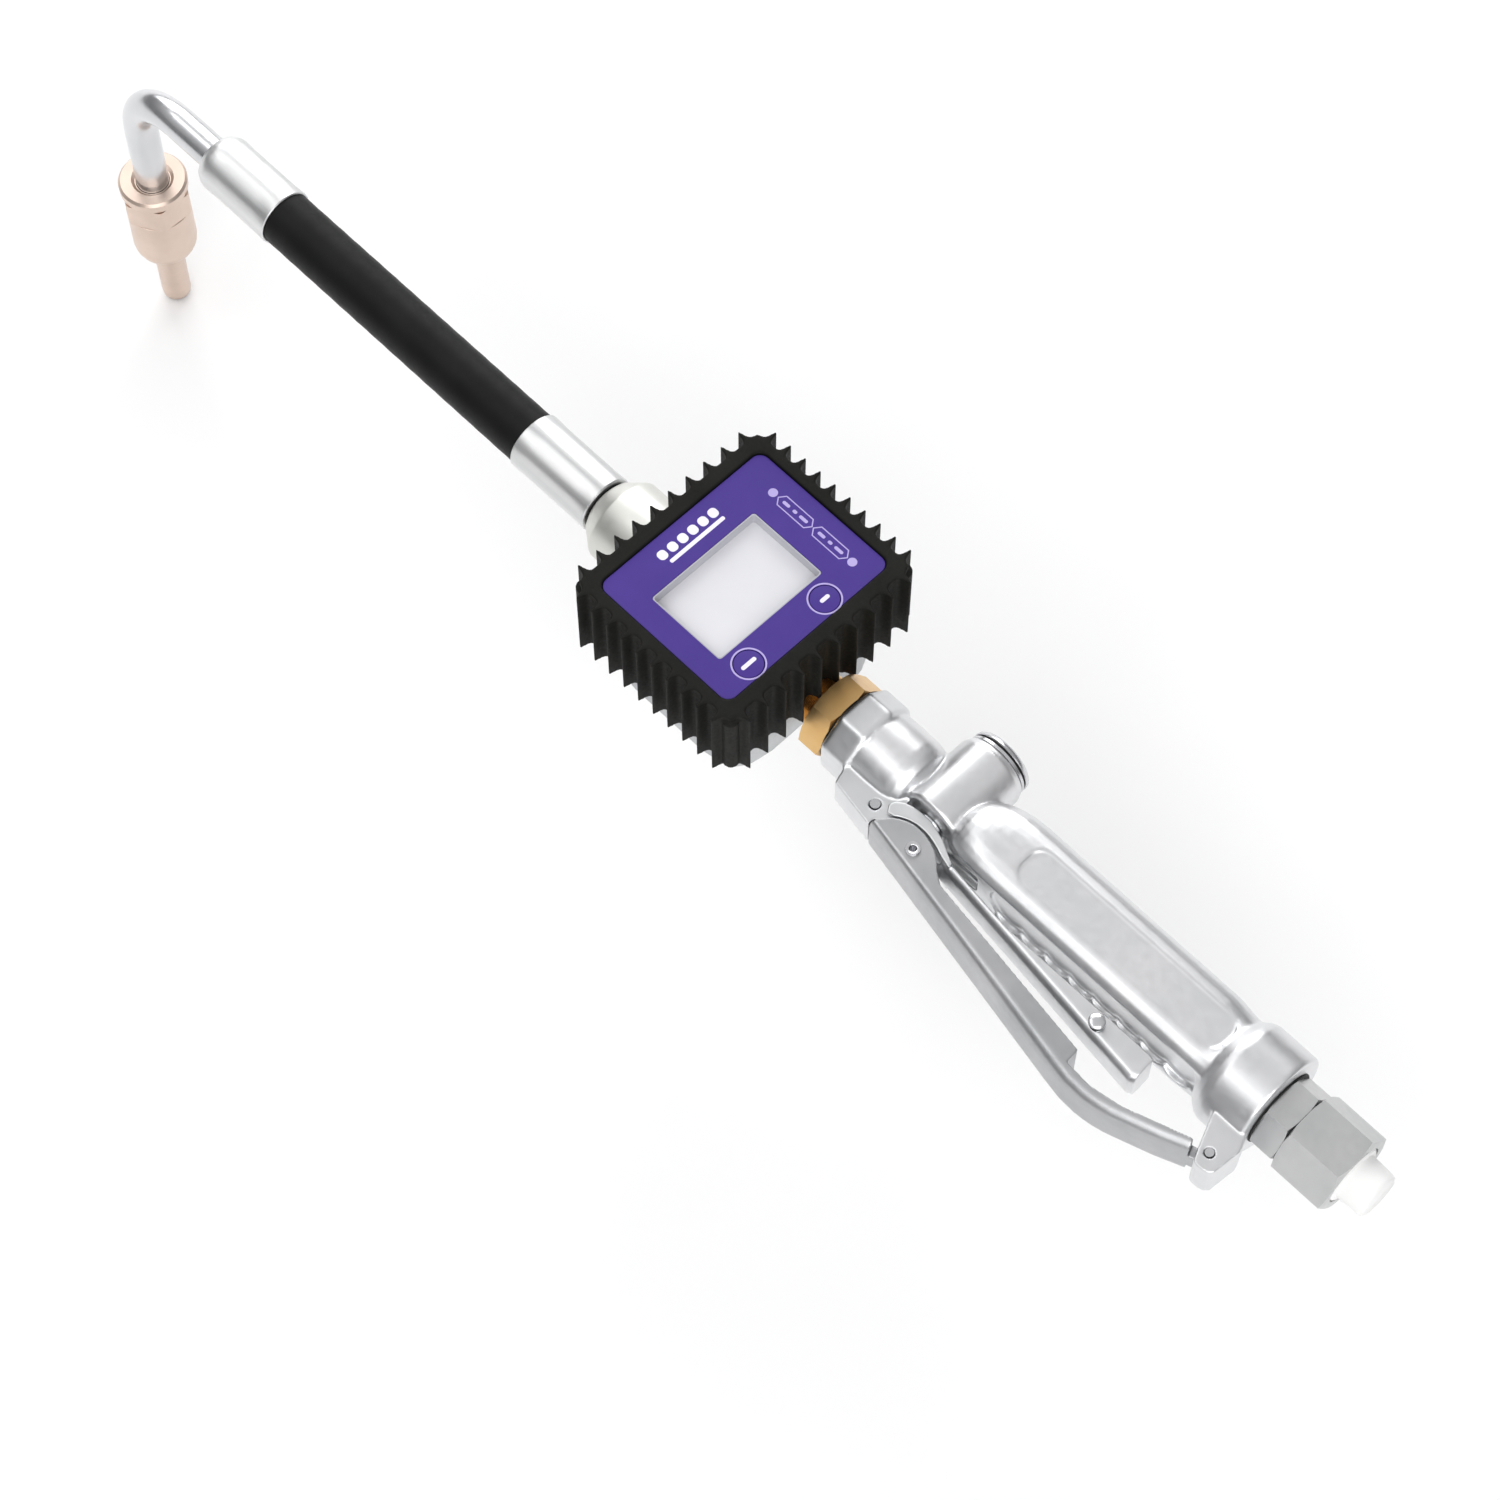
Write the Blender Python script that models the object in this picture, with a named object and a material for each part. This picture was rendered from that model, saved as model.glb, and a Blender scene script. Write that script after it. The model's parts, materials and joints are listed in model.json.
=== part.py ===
"""Hand-held oil control gun: a trigger valve handle, an oval gear meter with a display in a
finned rubber boot, and a flexible spout that ends in a drip-free nozzle.

Lengths here are in millimetres and become metres when each object is made.
+X runs from the meter to the handle, -X to the spout, and +Z is the way the display faces.
The origin is the centre of the meter's flat back face.
"""

import math

import bmesh
import bpy
from mathutils import Vector

MM = 0.001
GAP = 0.3  # clearance between neighbouring solids

# ---- driving dimensions -------------------------------------------------------------------
AXIS_Z = 22.0  # the oil bore runs along X at this height
LABEL_Z = 59.0  # face of the display label

BODY_HALF = (33.4, 36.4)  # cast meter body
BODY_CORNER = 17.0
BACK_COVER_HALF = (31.0, 34.0)
BACK_COVER_CORNER = 11.0
BODY_LOW = 4.3
BODY_HIGH = 33.0
CHAMBER_FLOOR = 14.0
GEAR_LONG = 13.2  # oval gear half length
GEAR_SHORT = 9.3  # oval gear half width
GEAR_CENTRE = (GEAR_LONG + GEAR_SHORT) / 2
GEAR_TEETH = 20

BOOT_HALF = (36.7, 42.0)
BOOT_LOW = 26.0
BOOT_HIGH = 60.0
FIN_COUNT = 10
FIN_HEIGHT = 4.6
FIN_WIDTH = 4.6

HOUSING_HALF = (33.3, 38.6)
HOUSING_LOW = 37.0
HOUSING_HIGH = 57.3
LABEL_HALF = (31.0, 37.7)
WINDOW_LOW = (-15.3, -28.3)
WINDOW_HIGH = (17.5, 19.4)
BUTTON_X = 25.2
RESET_Y = -22.5
CALIBRATE_Y = 12.8

HOSE_R = 10.5
HOSE_BORE_R = 6.65
HOSE_FRONT_X = -237.5  # where the front ferrule's mouth ends
HOSE_REAR_X = -106.0
FERRULE_R = 11.3
FERRULE_LENGTH = 37.5
FERRULE_GRIP = 20.0  # length of hose held inside a ferrule

TUBE_R = 6.35
TUBE_WALL = 1.6
SPOUT_X = -324.5  # the nozzle's upright axis
SPOUT_BEND_R = 29.0
NOZZLE_TOP = AXIS_Z - 62.0
NOZZLE_TIP = AXIS_Z - 137.5

VALVE_X = 96.5
SEAT_Y = 2.2
TRIGGER_PIVOT = (80.5, -17.8)
LEVER_START_X = 110.5
LEVER_TIP_X = 209.0
LEVER_HALF_Z = 7.35
LEVER_WALL = 2.15
LOCK_AT = (186.8, -23.3)
SCALLOPS = 8  # finger marks along the grip's lower flanks
SCALLOP_START_X = 138.0
SCALLOP_PITCH = 10.8
GUARD_HALF_Z = 9.5
GUARD_CHEEK = 2.7
GUARD_PIN = (102.0, -21.9)
GUARD_REAR_PIN = (242.5, -30.2)
RING_END_X = 245.7
SWIVEL_START_X = 256.6
SWIVEL_END_X = 278.3

HEX_TURN = 5.0  # degrees that the three hexagon nuts stop at
ROUND = 32  # sides of the large round pieces
MEDIUM = 20
SMALL = 12

# name: (colour, metallic, roughness)
FINISHES = {
    "cast_chrome": ((0.72, 0.73, 0.74), 1.0, 0.22),
    "bright_steel": ((0.66, 0.67, 0.69), 1.0, 0.18),
    "zinc_steel": ((0.62, 0.64, 0.66), 1.0, 0.35),
    "brass": ((0.78, 0.56, 0.27), 1.0, 0.25),
    "copper_brass": ((0.78, 0.62, 0.52), 1.0, 0.35),
    "aluminium": ((0.62, 0.63, 0.64), 1.0, 0.45),
    "black_rubber": ((0.02, 0.02, 0.02), 0.0, 0.7),
    "hose_rubber": ((0.015, 0.015, 0.016), 0.0, 0.55),
    "dark_plastic": ((0.03, 0.03, 0.035), 0.0, 0.45),
    "violet_film": ((0.065, 0.035, 0.30), 0.0, 0.35),
    "display_grey": ((0.75, 0.75, 0.77), 0.0, 0.25),
    "circuit_green": ((0.02, 0.18, 0.06), 0.0, 0.5),
    "cell_blue": ((0.05, 0.10, 0.35), 0.0, 0.4),
    "seal_rubber": ((0.03, 0.03, 0.03), 0.0, 0.6),
    "gear_polymer": ((0.80, 0.78, 0.70), 0.0, 0.5),
    "white_plastic": ((0.85, 0.85, 0.84), 0.0, 0.4),
}

AXES = {
    "X": Vector((1, 0, 0)),
    "-X": Vector((-1, 0, 0)),
    "Y": Vector((0, 1, 0)),
    "Z": Vector((0, 0, 1)),
}


# ---- making and joining meshes ------------------------------------------------------------
def clear_scene():
    for item in list(bpy.data.objects):
        bpy.data.objects.remove(item, do_unlink=True)


def finish_of(name, finish):
    colour, metallic, roughness = FINISHES[finish]
    made = bpy.data.materials.new(name)
    made.use_nodes = True
    shader = made.node_tree.nodes["Principled BSDF"]
    shader.inputs["Base Color"].default_value = (*colour, 1.0)
    shader.inputs["Metallic"].default_value = metallic
    shader.inputs["Roughness"].default_value = roughness
    return made


def add_object(name, bm, finish, origin=(0, 0, 0)):
    """Turns a bmesh in millimetres into an object in metres, with its origin where given."""
    bmesh.ops.translate(bm, vec=-Vector(origin), verts=bm.verts)
    bmesh.ops.scale(bm, vec=(MM, MM, MM), verts=bm.verts)
    bmesh.ops.recalc_face_normals(bm, faces=bm.faces)
    if bm.calc_volume(signed=True) < 0:
        bmesh.ops.reverse_faces(bm, faces=bm.faces)
    mesh = bpy.data.meshes.new(name)
    bm.to_mesh(mesh)
    bm.free()
    mesh.shade_smooth()
    mesh.set_sharp_from_angle(angle=math.radians(35))
    mesh.materials.append(finish_of(name, finish))
    thing = bpy.data.objects.new(name, mesh)
    thing.location = Vector(origin) * MM
    bpy.context.scene.collection.objects.link(thing)
    return thing


def turned(name, profile, finish, axis="X", base=(0, 0, 0), steps=MEDIUM, origin=None):
    """A solid of revolution. The profile is a closed outline of (along, radius) points."""
    bm = bmesh.new()
    points = [bm.verts.new((radius, 0, along)) for along, radius in profile]
    edges = []
    for k, point in enumerate(points):
        after = points[(k + 1) % len(points)]
        if point.co.x > 0 or after.co.x > 0:
            edges.append(bm.edges.new((point, after)))
    bmesh.ops.spin(
        bm,
        geom=points + edges,
        cent=(0, 0, 0),
        axis=(0, 0, 1),
        dvec=(0, 0, 0),
        angle=2 * math.pi,
        steps=steps,
        use_merge=False,
        use_duplicate=False,
    )
    bmesh.ops.remove_doubles(bm, verts=bm.verts, dist=0.002)
    turn = Vector((0, 0, 1)).rotation_difference(AXES[axis]).to_matrix()
    bmesh.ops.rotate(bm, cent=(0, 0, 0), matrix=turn, verts=bm.verts)
    bmesh.ops.translate(bm, vec=base, verts=bm.verts)
    return add_object(name, bm, finish, base if origin is None else origin)


def rod(name, start, end, radius, finish="bright_steel", axis="X", base=(0, 0, 0), steps=SMALL):
    """A plain cylinder between two places along an axis."""
    profile = [(start, 0), (start, radius), (end, radius), (end, 0)]
    return turned(name, profile, finish, axis, base, steps)


def prism(name, outline, low, high, finish, axis="Z", origin=(0, 0, 0)):
    """An outline carried along an axis: (x, y) along Z, (x, z) along Y and (y, z) along X."""
    place = {
        "Z": lambda u, v, w: (u, v, w),
        "Y": lambda u, v, w: (u, w, v),
        "X": lambda u, v, w: (w, u, v),
    }[axis]
    bm = bmesh.new()
    floor = bm.faces.new([bm.verts.new(place(u, v, low)) for u, v in outline])
    roof = bmesh.ops.extrude_face_region(bm, geom=[floor])["geom"]
    moved = [item for item in roof if isinstance(item, bmesh.types.BMVert)]
    bmesh.ops.translate(bm, vec=AXES[axis] * (high - low), verts=moved)
    return add_object(name, bm, finish, origin)


def rounded_rectangle(half_x, half_y, radius, steps=4, centre=(0, 0)):
    outline = []
    for corner in range(4):
        sx, sy = ((1, 1), (-1, 1), (-1, -1), (1, -1))[corner]
        cx = centre[0] + sx * (half_x - radius)
        cy = centre[1] + sy * (half_y - radius)
        for k in range(steps + 1):
            angle = math.radians(90 * (corner + k / steps))
            outline.append((cx + radius * math.cos(angle), cy + radius * math.sin(angle)))
    return outline


def box_outline(low, high):
    return [low, (high[0], low[1]), high, (low[0], high[1])]


def hexagon(across_flats, centre=(0, 0), turn=0.0):
    radius = across_flats / math.sqrt(3)
    angles = [math.radians(turn + 60 * k) for k in range(6)]
    return [(centre[0] + radius * math.cos(a), centre[1] + radius * math.sin(a)) for a in angles]


def as_tool(thing):
    """Marks an object that only shapes another one."""
    thing.hide_render = True
    thing.display_type = "WIRE"
    return thing


def shape(thing, operation, tools):
    """Combines a solid with any number of tools in one Boolean step."""
    label = thing.name + "_" + operation.lower()
    group = bpy.data.collections.new(label)
    for tool in tools:
        group.objects.link(as_tool(tool))
    step = thing.modifiers.new(label, "BOOLEAN")
    step.operation = operation
    step.operand_type = "COLLECTION"
    step.collection = group
    step.solver = "EXACT"
    return thing


def cut(thing, *tools):
    return shape(thing, "DIFFERENCE", tools)


def join(thing, *tools):
    return shape(thing, "UNION", tools)


def hex_nut(name, across_flats, start, end, bore_r, finish, chamfer=1.2, turn=0.0):
    """A hexagonal sleeve along the oil bore with chamfered corners."""
    nut = prism(name, hexagon(across_flats, (0, AXIS_Z), turn), start, end, finish, "X")
    corner = across_flats / math.sqrt(3)
    flat = across_flats / 2
    blank = [
        (start - 1, flat - 0.4),
        (start + chamfer, corner + 0.05),
        (end - chamfer, corner + 0.05),
        (end + 1, flat - 0.4),
        (end + 1, bore_r),
        (start - 1, bore_r),
    ]
    tool = turned(name + "_blank", blank, finish, "X", (0, 0, AXIS_Z), ROUND)
    return shape(nut, "INTERSECT", [tool])


# ---- meter --------------------------------------------------------------------------------
def stadium(half_length, radius, steps=10):
    """An outline of two half circles and the straight sides between them, long along Y."""
    outline = []
    for side in (1, -1):
        for k in range(steps + 1):
            angle = math.radians(180 * k / steps + (0 if side > 0 else 180))
            outline.append((radius * math.cos(angle), side * half_length + radius * math.sin(angle)))
    return outline


def make_meter_body():
    outline = rounded_rectangle(*BODY_HALF, BODY_CORNER, 5)
    body = prism("meter_body", outline, BODY_LOW, BODY_HIGH, "aluminium")
    groove = prism("seal_groove", stadium(GEAR_CENTRE, 17.7), BODY_HIGH - 1.9, 40, "aluminium")
    cut(groove, prism("seal_groove_core", stadium(GEAR_CENTRE, 15.3), 20, 45, "aluminium"))
    tools = [groove, rod("body_bore", -40, 40, 6.5, base=(0, 0, AXIS_Z), steps=MEDIUM)]
    for side, word in ((-1, "outlet"), (1, "inlet")):
        start, end = sorted((side * 21.2, side * 45))
        tools.append(rod("body_port_" + word, start, end, 10.2, base=(0, 0, AXIS_Z), steps=MEDIUM))
        base = (0, side * GEAR_CENTRE, 0)
        tools.append(rod("chamber_" + word, CHAMBER_FLOOR, 45, GEAR_LONG + 0.6, axis="Z", base=base,
                         steps=ROUND))
        tools.append(rod("shaft_hole_" + word, 7.6, 20, 2.8, axis="Z", base=base))
        near, far = sorted((side * 6.0, side * 14.6))
        tools.append(prism("pocket_" + word, box_outline((near, -5), (far, 5)), 13, 45, "aluminium"))
    for number, (x, y) in enumerate(screw_places()):
        tools.append(rod(f"body_thread_{number}", 2, 17, 2.15, axis="Z", base=(x, y, 0)))
    return cut(body, *tools)


def screw_places():
    return [(sx * 24, sy * 28) for sx, sy in ((1, 1), (-1, 1), (-1, -1), (1, -1))]


def make_back_cover():
    outline = rounded_rectangle(*BACK_COVER_HALF, BACK_COVER_CORNER, 4)
    cover = prism("meter_back_cover", outline, 0, 4.0, "aluminium")
    hole = [(-1, 0), (-1, 3.9), (2.3, 3.9), (2.3, 2.15), (6, 2.15), (6, 0)]
    screw = [(0.4, 1.4), (0.4, 3.5), (2.0, 3.5), (2.0, 1.8), (15, 1.8), (15, 0), (1.5, 0), (1.5, 1.4)]
    tools = []
    for number, (x, y) in enumerate(screw_places()):
        tools.append(turned(f"cover_hole_{number}", hole, "aluminium", "Z", (x, y, 0), SMALL))
        turned(f"back_screw_{number + 1}", screw, "zinc_steel", "Z", (x, y, 0), SMALL)
    cut(cover, *tools)


def make_chamber_cover():
    prism("chamber_cover", rounded_rectangle(28, 32, 7, 3), BODY_HIGH + GAP, BODY_HIGH + 2.3, "aluminium")
    seal = prism("chamber_seal", stadium(GEAR_CENTRE, 17.3), BODY_HIGH - 1.6, BODY_HIGH, "seal_rubber")
    cut(seal, prism("seal_core", stadium(GEAR_CENTRE, 15.7), 20, 45, "seal_rubber"))


def gear_outline(turn):
    """An oval pitch curve with shallow teeth, clear of its partner at every angle."""
    pitch = 2 * GEAR_LONG * GEAR_SHORT / (GEAR_LONG + GEAR_SHORT)
    swell = (GEAR_LONG - GEAR_SHORT) / (GEAR_LONG + GEAR_SHORT)
    outline = []
    count = GEAR_TEETH * 4
    for k in range(count):
        angle = 2 * math.pi * k / count
        radius = 0.98 * pitch / (1 - swell * math.cos(2 * angle))
        radius -= 0.35 * (1 - math.cos(GEAR_TEETH * angle))
        outline.append((radius * math.cos(angle + turn), radius * math.sin(angle + turn)))
    return outline


def make_gears():
    for side, name, turn in ((-1, "oval_gear_left", 0.0), (1, "oval_gear_right", math.pi / 2)):
        centre = (0, side * GEAR_CENTRE, 0)
        outline = [(x, y + centre[1]) for x, y in gear_outline(turn)]
        gear = prism(name, outline, CHAMBER_FLOOR + 0.4, BODY_HIGH - 0.5, "gear_polymer", origin=centre)
        cut(gear, rod(name + "_bore", 10, 40, 2.75, axis="Z", base=centre))
        rod(name.replace("oval_gear", "gear_shaft"), 8, BODY_HIGH - 0.1, 2.5, axis="Z", base=centre)


def fin_side(start, end, count, across):
    """Outline points of one finned side, from one end to the other, as (along, out) pairs."""
    points = []
    pitch = (end - start) / (count - 1)
    half = math.copysign(FIN_WIDTH / 2, pitch)
    for k in range(count):
        middle = start + pitch * k
        points += [(middle - half, across), (middle, across + FIN_HEIGHT), (middle + half, across)]
    return points


def boot_outline():
    hx, hy = BOOT_HALF
    reach_x = hx - 4.5
    reach_y = hy - 4.7
    outline = [(out, along) for along, out in fin_side(-reach_y, reach_y, FIN_COUNT, hx)]
    outline.append((hx - 0.6, hy - 0.6))
    outline += fin_side(reach_x, -reach_x, FIN_COUNT, hy)
    outline.append((0.6 - hx, hy - 0.6))
    outline += [(-out, along) for along, out in fin_side(reach_y, -reach_y, FIN_COUNT, hx)]
    outline.append((0.6 - hx, 0.6 - hy))
    outline += [(along, -out) for along, out in fin_side(-reach_x, reach_x, FIN_COUNT, hy)]
    outline.append((hx - 0.6, 0.6 - hy))
    return outline


def make_boot():
    boot = prism("rubber_boot", boot_outline(), BOOT_LOW, BOOT_HIGH, "black_rubber")
    inner = rounded_rectangle(HOUSING_HALF[0] + 0.4, HOUSING_HALF[1] + 0.4, 4, 3)
    opening = rounded_rectangle(LABEL_HALF[0] + GAP, LABEL_HALF[1] + GAP, 4, 3)
    cut(
        boot,
        prism("boot_cavity", inner, 20, HOUSING_HIGH + GAP, "black_rubber"),
        prism("boot_opening", opening, 50, 70, "black_rubber"),
        rod("boot_outlet_notch", -45, -30, 16.9, base=(0, 0, AXIS_Z), steps=ROUND),
        rod("boot_inlet_notch", 30, 45, 10.7, base=(0, 0, AXIS_Z), steps=MEDIUM),
    )


def window_tool(name, low, high, finish):
    return prism(name, box_outline(WINDOW_LOW, WINDOW_HIGH), low, high, finish)


def button_places():
    return (("reset", RESET_Y), ("calibrate", CALIBRATE_Y))


def make_display():
    housing = prism("display_housing", rounded_rectangle(*HOUSING_HALF, 3.6, 3), HOUSING_LOW,
                    HOUSING_HIGH, "dark_plastic")
    inner = rounded_rectangle(HOUSING_HALF[0] - 2, HOUSING_HALF[1] - 2, 2, 2)
    cavity = prism("housing_cavity", inner, 30, HOUSING_HIGH - 2.2, "dark_plastic")
    housing_tools = [cavity, window_tool("housing_window", 50, 60, "dark_plastic")]
    label = prism("label_panel", rounded_rectangle(*LABEL_HALF, 3.8, 4), HOUSING_HIGH + GAP, LABEL_Z,
                  "violet_film")
    label_tools = [window_tool("label_window", 50, 65, "violet_film")]
    for word, y in button_places():
        base = (BUTTON_X, y, 0)
        housing_tools.append(rod(f"housing_{word}_hole", 50, 60, 5.6, axis="Z", base=base, steps=MEDIUM))
        label_tools.append(rod(f"label_{word}_hole", 50, 65, 5.5, axis="Z", base=base, steps=MEDIUM))
        profile = [(51.9, 0), (51.9, 2.2), (56.9, 2.2), (56.9, 5.2), (58.7, 5.2), (59.0, 4.9), (59.0, 0)]
        turned(word + "_button", profile, "violet_film", "Z", base, MEDIUM)
    cut(housing, *housing_tools)
    cut(label, *label_tools)
    glass = box_outline((WINDOW_LOW[0] - 2, WINDOW_LOW[1] - 2), (WINDOW_HIGH[0] + 2, WINDOW_HIGH[1] + 2))
    prism("display_module", glass, 51.4, 54.8, "display_grey")
    prism("circuit_board", rounded_rectangle(29, 34, 2, 2), 49.2, 50.8, "circuit_green")
    holder = prism("battery_holder", rounded_rectangle(17.5, 25, 2, 2), 37.3, 44.0, "dark_plastic")
    channels = []
    for side, word in ((-1, "left"), (1, "right")):
        base = (side * 8.4, 0, 43.6)
        channels.append(rod(f"holder_{word}_channel", -22.9, 22.9, 5.6, axis="Y", base=base))
        profile = [(-22.2, 0), (-22.2, 5.2), (21.2, 5.2), (21.2, 1.9), (22.2, 1.9), (22.2, 0)]
        turned("battery_" + word, profile, "cell_blue", "Y", base, MEDIUM)
    cut(holder, *channels)


# ---- connections along the bore -----------------------------------------------------------
def make_meter_fittings():
    base = (0, 0, AXIS_Z)
    nipple = [(21.6, 6.5), (21.6, 9.9), (62.4, 9.9), (62.4, 6.5)]
    turned("inlet_nipple", nipple, "brass", "X", base, MEDIUM)
    hex_nut("union_nut", 28.0, 41.7, 51.6, 10.2, "brass", 0.9, HEX_TURN)
    adapter = [
        (21.6, 6.5), (21.6, 9.9), (33.4, 9.9), (33.4, 16.3), (60.5, 16.3), (67.0, 11.6),
        (68.8, 11.0), (68.8, 8.35), (47.0, 8.35), (47.0, 6.5),
    ]
    turned("outlet_adapter", adapter, "bright_steel", "-X", base, ROUND)


# ---- flexible spout -----------------------------------------------------------------------
def make_hose():
    base = (0, 0, AXIS_Z)
    front = HOSE_FRONT_X - FERRULE_GRIP
    rear = HOSE_REAR_X + FERRULE_GRIP
    hose = [(front, HOSE_BORE_R), (front, HOSE_R), (rear, HOSE_R), (rear, HOSE_BORE_R)]
    turned("hose", hose, "hose_rubber", "X", base, ROUND)
    ferrule = [
        (0, HOSE_R + GAP), (0, FERRULE_R), (FERRULE_LENGTH - 3.6, FERRULE_R), (FERRULE_LENGTH, 9.2),
    ]
    inside = FERRULE_GRIP + GAP
    front_bore = TUBE_R + GAP
    front_wall = [(FERRULE_LENGTH, front_bore), (inside, front_bore), (inside, HOSE_R + GAP)]
    mouth = (HOSE_FRONT_X, 0, AXIS_Z)
    turned("front_ferrule", ferrule + front_wall, "zinc_steel", "-X", mouth, ROUND)
    stem_r = 8.0
    rear_wall = [(FERRULE_LENGTH, stem_r + GAP), (inside, stem_r + GAP), (inside, HOSE_R + GAP)]
    rear_body = ferrule[:2] + [(FERRULE_LENGTH - 1.0, FERRULE_R), (FERRULE_LENGTH - 0.4, 10.6)]
    turned("rear_ferrule", rear_body + [(FERRULE_LENGTH - 0.4, stem_r + GAP)] + rear_wall[1:],
           "zinc_steel", "X", (HOSE_REAR_X, 0, AXIS_Z), ROUND)
    barbs = []
    for k in range(5):
        barbs += [(-23 + 4 * k, 5.7), (-19.2 + 4 * k, 6.35)]
    stem = [(-23, 4.6)] + barbs + [(-1.5, 6.35), (0.6, 6.35), (0.6, stem_r), (37.5, stem_r), (37.5, 4.6)]
    turned("hose_stem", stem, "zinc_steel", "X", (rear, 0, AXIS_Z), MEDIUM)


def spout_path():
    """Centre points and directions of the bent tube, from inside the hose down to the nozzle."""
    bend_x = SPOUT_X + SPOUT_BEND_R
    path = [((HOSE_FRONT_X - 2.0, AXIS_Z), math.pi), ((bend_x, AXIS_Z), math.pi)]
    steps = 12
    for k in range(1, steps + 1):
        turn = math.pi / 2 * k / steps
        x = bend_x - SPOUT_BEND_R * math.sin(turn)
        z = AXIS_Z - SPOUT_BEND_R + SPOUT_BEND_R * math.cos(turn)
        path.append(((x, z), math.pi + turn))
    path.append(((SPOUT_X, NOZZLE_TOP - 12), 1.5 * math.pi))
    return path


def make_spout_tube(sides=20):
    """Sweeps a ring along the path in the XZ plane, outside and inside, and closes both ends."""
    bm = bmesh.new()
    walls = []
    for radius in (TUBE_R, TUBE_R - TUBE_WALL):
        rings = []
        for (x, z), heading in spout_path():
            across = Vector((-math.sin(heading), 0, math.cos(heading)))
            ring = []
            for k in range(sides):
                angle = 2 * math.pi * k / sides
                offset = across * math.cos(angle) + Vector((0, 1, 0)) * math.sin(angle)
                ring.append(bm.verts.new(Vector((x, 0, z)) + radius * offset))
            rings.append(ring)
        walls.append(rings)
        for first, second in zip(rings, rings[1:]):
            for k in range(sides):
                after = (k + 1) % sides
                bm.faces.new((first[k], first[after], second[after], second[k]))
    for end in (0, -1):
        for k in range(sides):
            after = (k + 1) % sides
            outer, inner = walls[0][end], walls[1][end]
            bm.faces.new((outer[k], outer[after], inner[after], inner[k]))
    return add_object("spout_tube", bm, "bright_steel")


def coil(name, centre, axis, radius, wire, start, end, turns, finish="bright_steel"):
    """A round wire spring as a bevelled curve along an axis."""
    curve = bpy.data.curves.new(name, "CURVE")
    curve.dimensions = "3D"
    curve.bevel_depth = wire * MM
    curve.bevel_resolution = 1
    curve.render_resolution_u = 0
    curve.use_fill_caps = True
    per_turn = 14
    count = int(turns * per_turn) + 1
    line = curve.splines.new("POLY")
    line.points.add(count - 1)
    side, up = (("X", "Z"), ("X", "Y"))[axis == "Z"]
    for k in range(count):
        angle = 2 * math.pi * k / per_turn
        along = start + (end - start) * k / (count - 1)
        place = AXES[side] * radius * math.cos(angle) + AXES[up] * radius * math.sin(angle)
        place = (place + AXES[axis] * along) * MM
        line.points[k].co = (*place, 1.0)
    thing = bpy.data.objects.new(name, curve)
    thing.location = Vector(centre) * MM
    curve.materials.append(finish_of(name, finish))
    bpy.context.scene.collection.objects.link(thing)
    return thing


def make_nozzle():
    base = (SPOUT_X, 0, 0)
    top = NOZZLE_TOP
    rim = [(top - 5.4, 0), (top - 5.4, 12.1), (top - 4.6, 12.1), (top - 4.6, 13.3), (top - 0.8, 13.3),
           (top, 12.5), (top, 0)]
    nut = turned("nozzle_nut", rim, "copper_brass", "Z", base, ROUND)
    flats = prism("nozzle_hex", hexagon(24.4, (SPOUT_X, 0), 30), top - 16.6, top - 5.0, "copper_brass")
    join(nut, flats)
    bore = [(top - 20, 0), (top - 20, 9.2), (top - 12.6, 9.2), (top - 12.6, TUBE_R + GAP),
            (top + 2, TUBE_R + GAP), (top + 2, 0)]
    cut(nut, turned("nozzle_nut_bore", bore, "copper_brass", "Z", base, MEDIUM))
    shoulder = top - 16.9
    body = [
        (shoulder + 3.9, 7.4), (shoulder + 3.9, 8.9), (shoulder, 8.9), (shoulder, 12.0),
        (shoulder - 1.0, 12.5), (shoulder - 20.5, 12.5), (shoulder - 24.5, 11.6),
        (shoulder - 27.5, 9.3), (shoulder - 29.5, 6.2), (shoulder - 31.0, 5.8),
        (NOZZLE_TIP + 2.0, 5.7), (NOZZLE_TIP, 4.8), (NOZZLE_TIP, 3.9), (shoulder - 27.5, 3.9),
        (shoulder - 25.0, 7.4),
    ]
    turned("nozzle_body", body, "copper_brass", "Z", base, ROUND)
    seat_top = shoulder - 7
    seat = [(seat_top - 3, 4.0), (seat_top - 3, 7.1), (seat_top, 7.1), (seat_top, 4.0)]
    turned("nozzle_seat", seat, "seal_rubber", "Z", base, MEDIUM)
    head = seat_top - 3.3
    poppet = [(head - 10, 0), (head - 10, 1.5), (head - 3, 1.5), (head - 3, 5.2), (head - 0.6, 5.2),
              (head, 4.8), (head, 2.6), (head + 2.4, 1.2), (head + 2.4, 0)]
    turned("nozzle_poppet", poppet, "bright_steel", "Z", base, MEDIUM)
    coil("nozzle_spring", base, "Z", 4.5, 0.45, shoulder - 24.2, head - 3.8, 4)


# ---- valve handle -------------------------------------------------------------------------
GRIP_HALF = (
    (17.6, 0.0), (17.5, 4.5), (16.2, 8.8), (13.0, 12.7), (8.0, 15.2), (2.0, 15.7), (-6.0, 15.3),
    (-12.2, 12.8), (-13.9, 10.3), (-12.5, 7.7), (-12.6, 0.0),
)
# (x, how much of the grip's outline shows, radius of the round section that it grows out of)
GRIP_STATIONS = (
    (103, 0.0, 8.5), (109, 0.25, 12.4), (114, 0.55, 13.8), (120, 0.85, 14.4), (128, 1.0, 14.8),
    (150, 1.0, 15.0), (172, 1.0, 15.0), (212, 1.0, 15.0), (220, 0.6, 16.4), (227, 0.0, 17.0),
)


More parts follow.
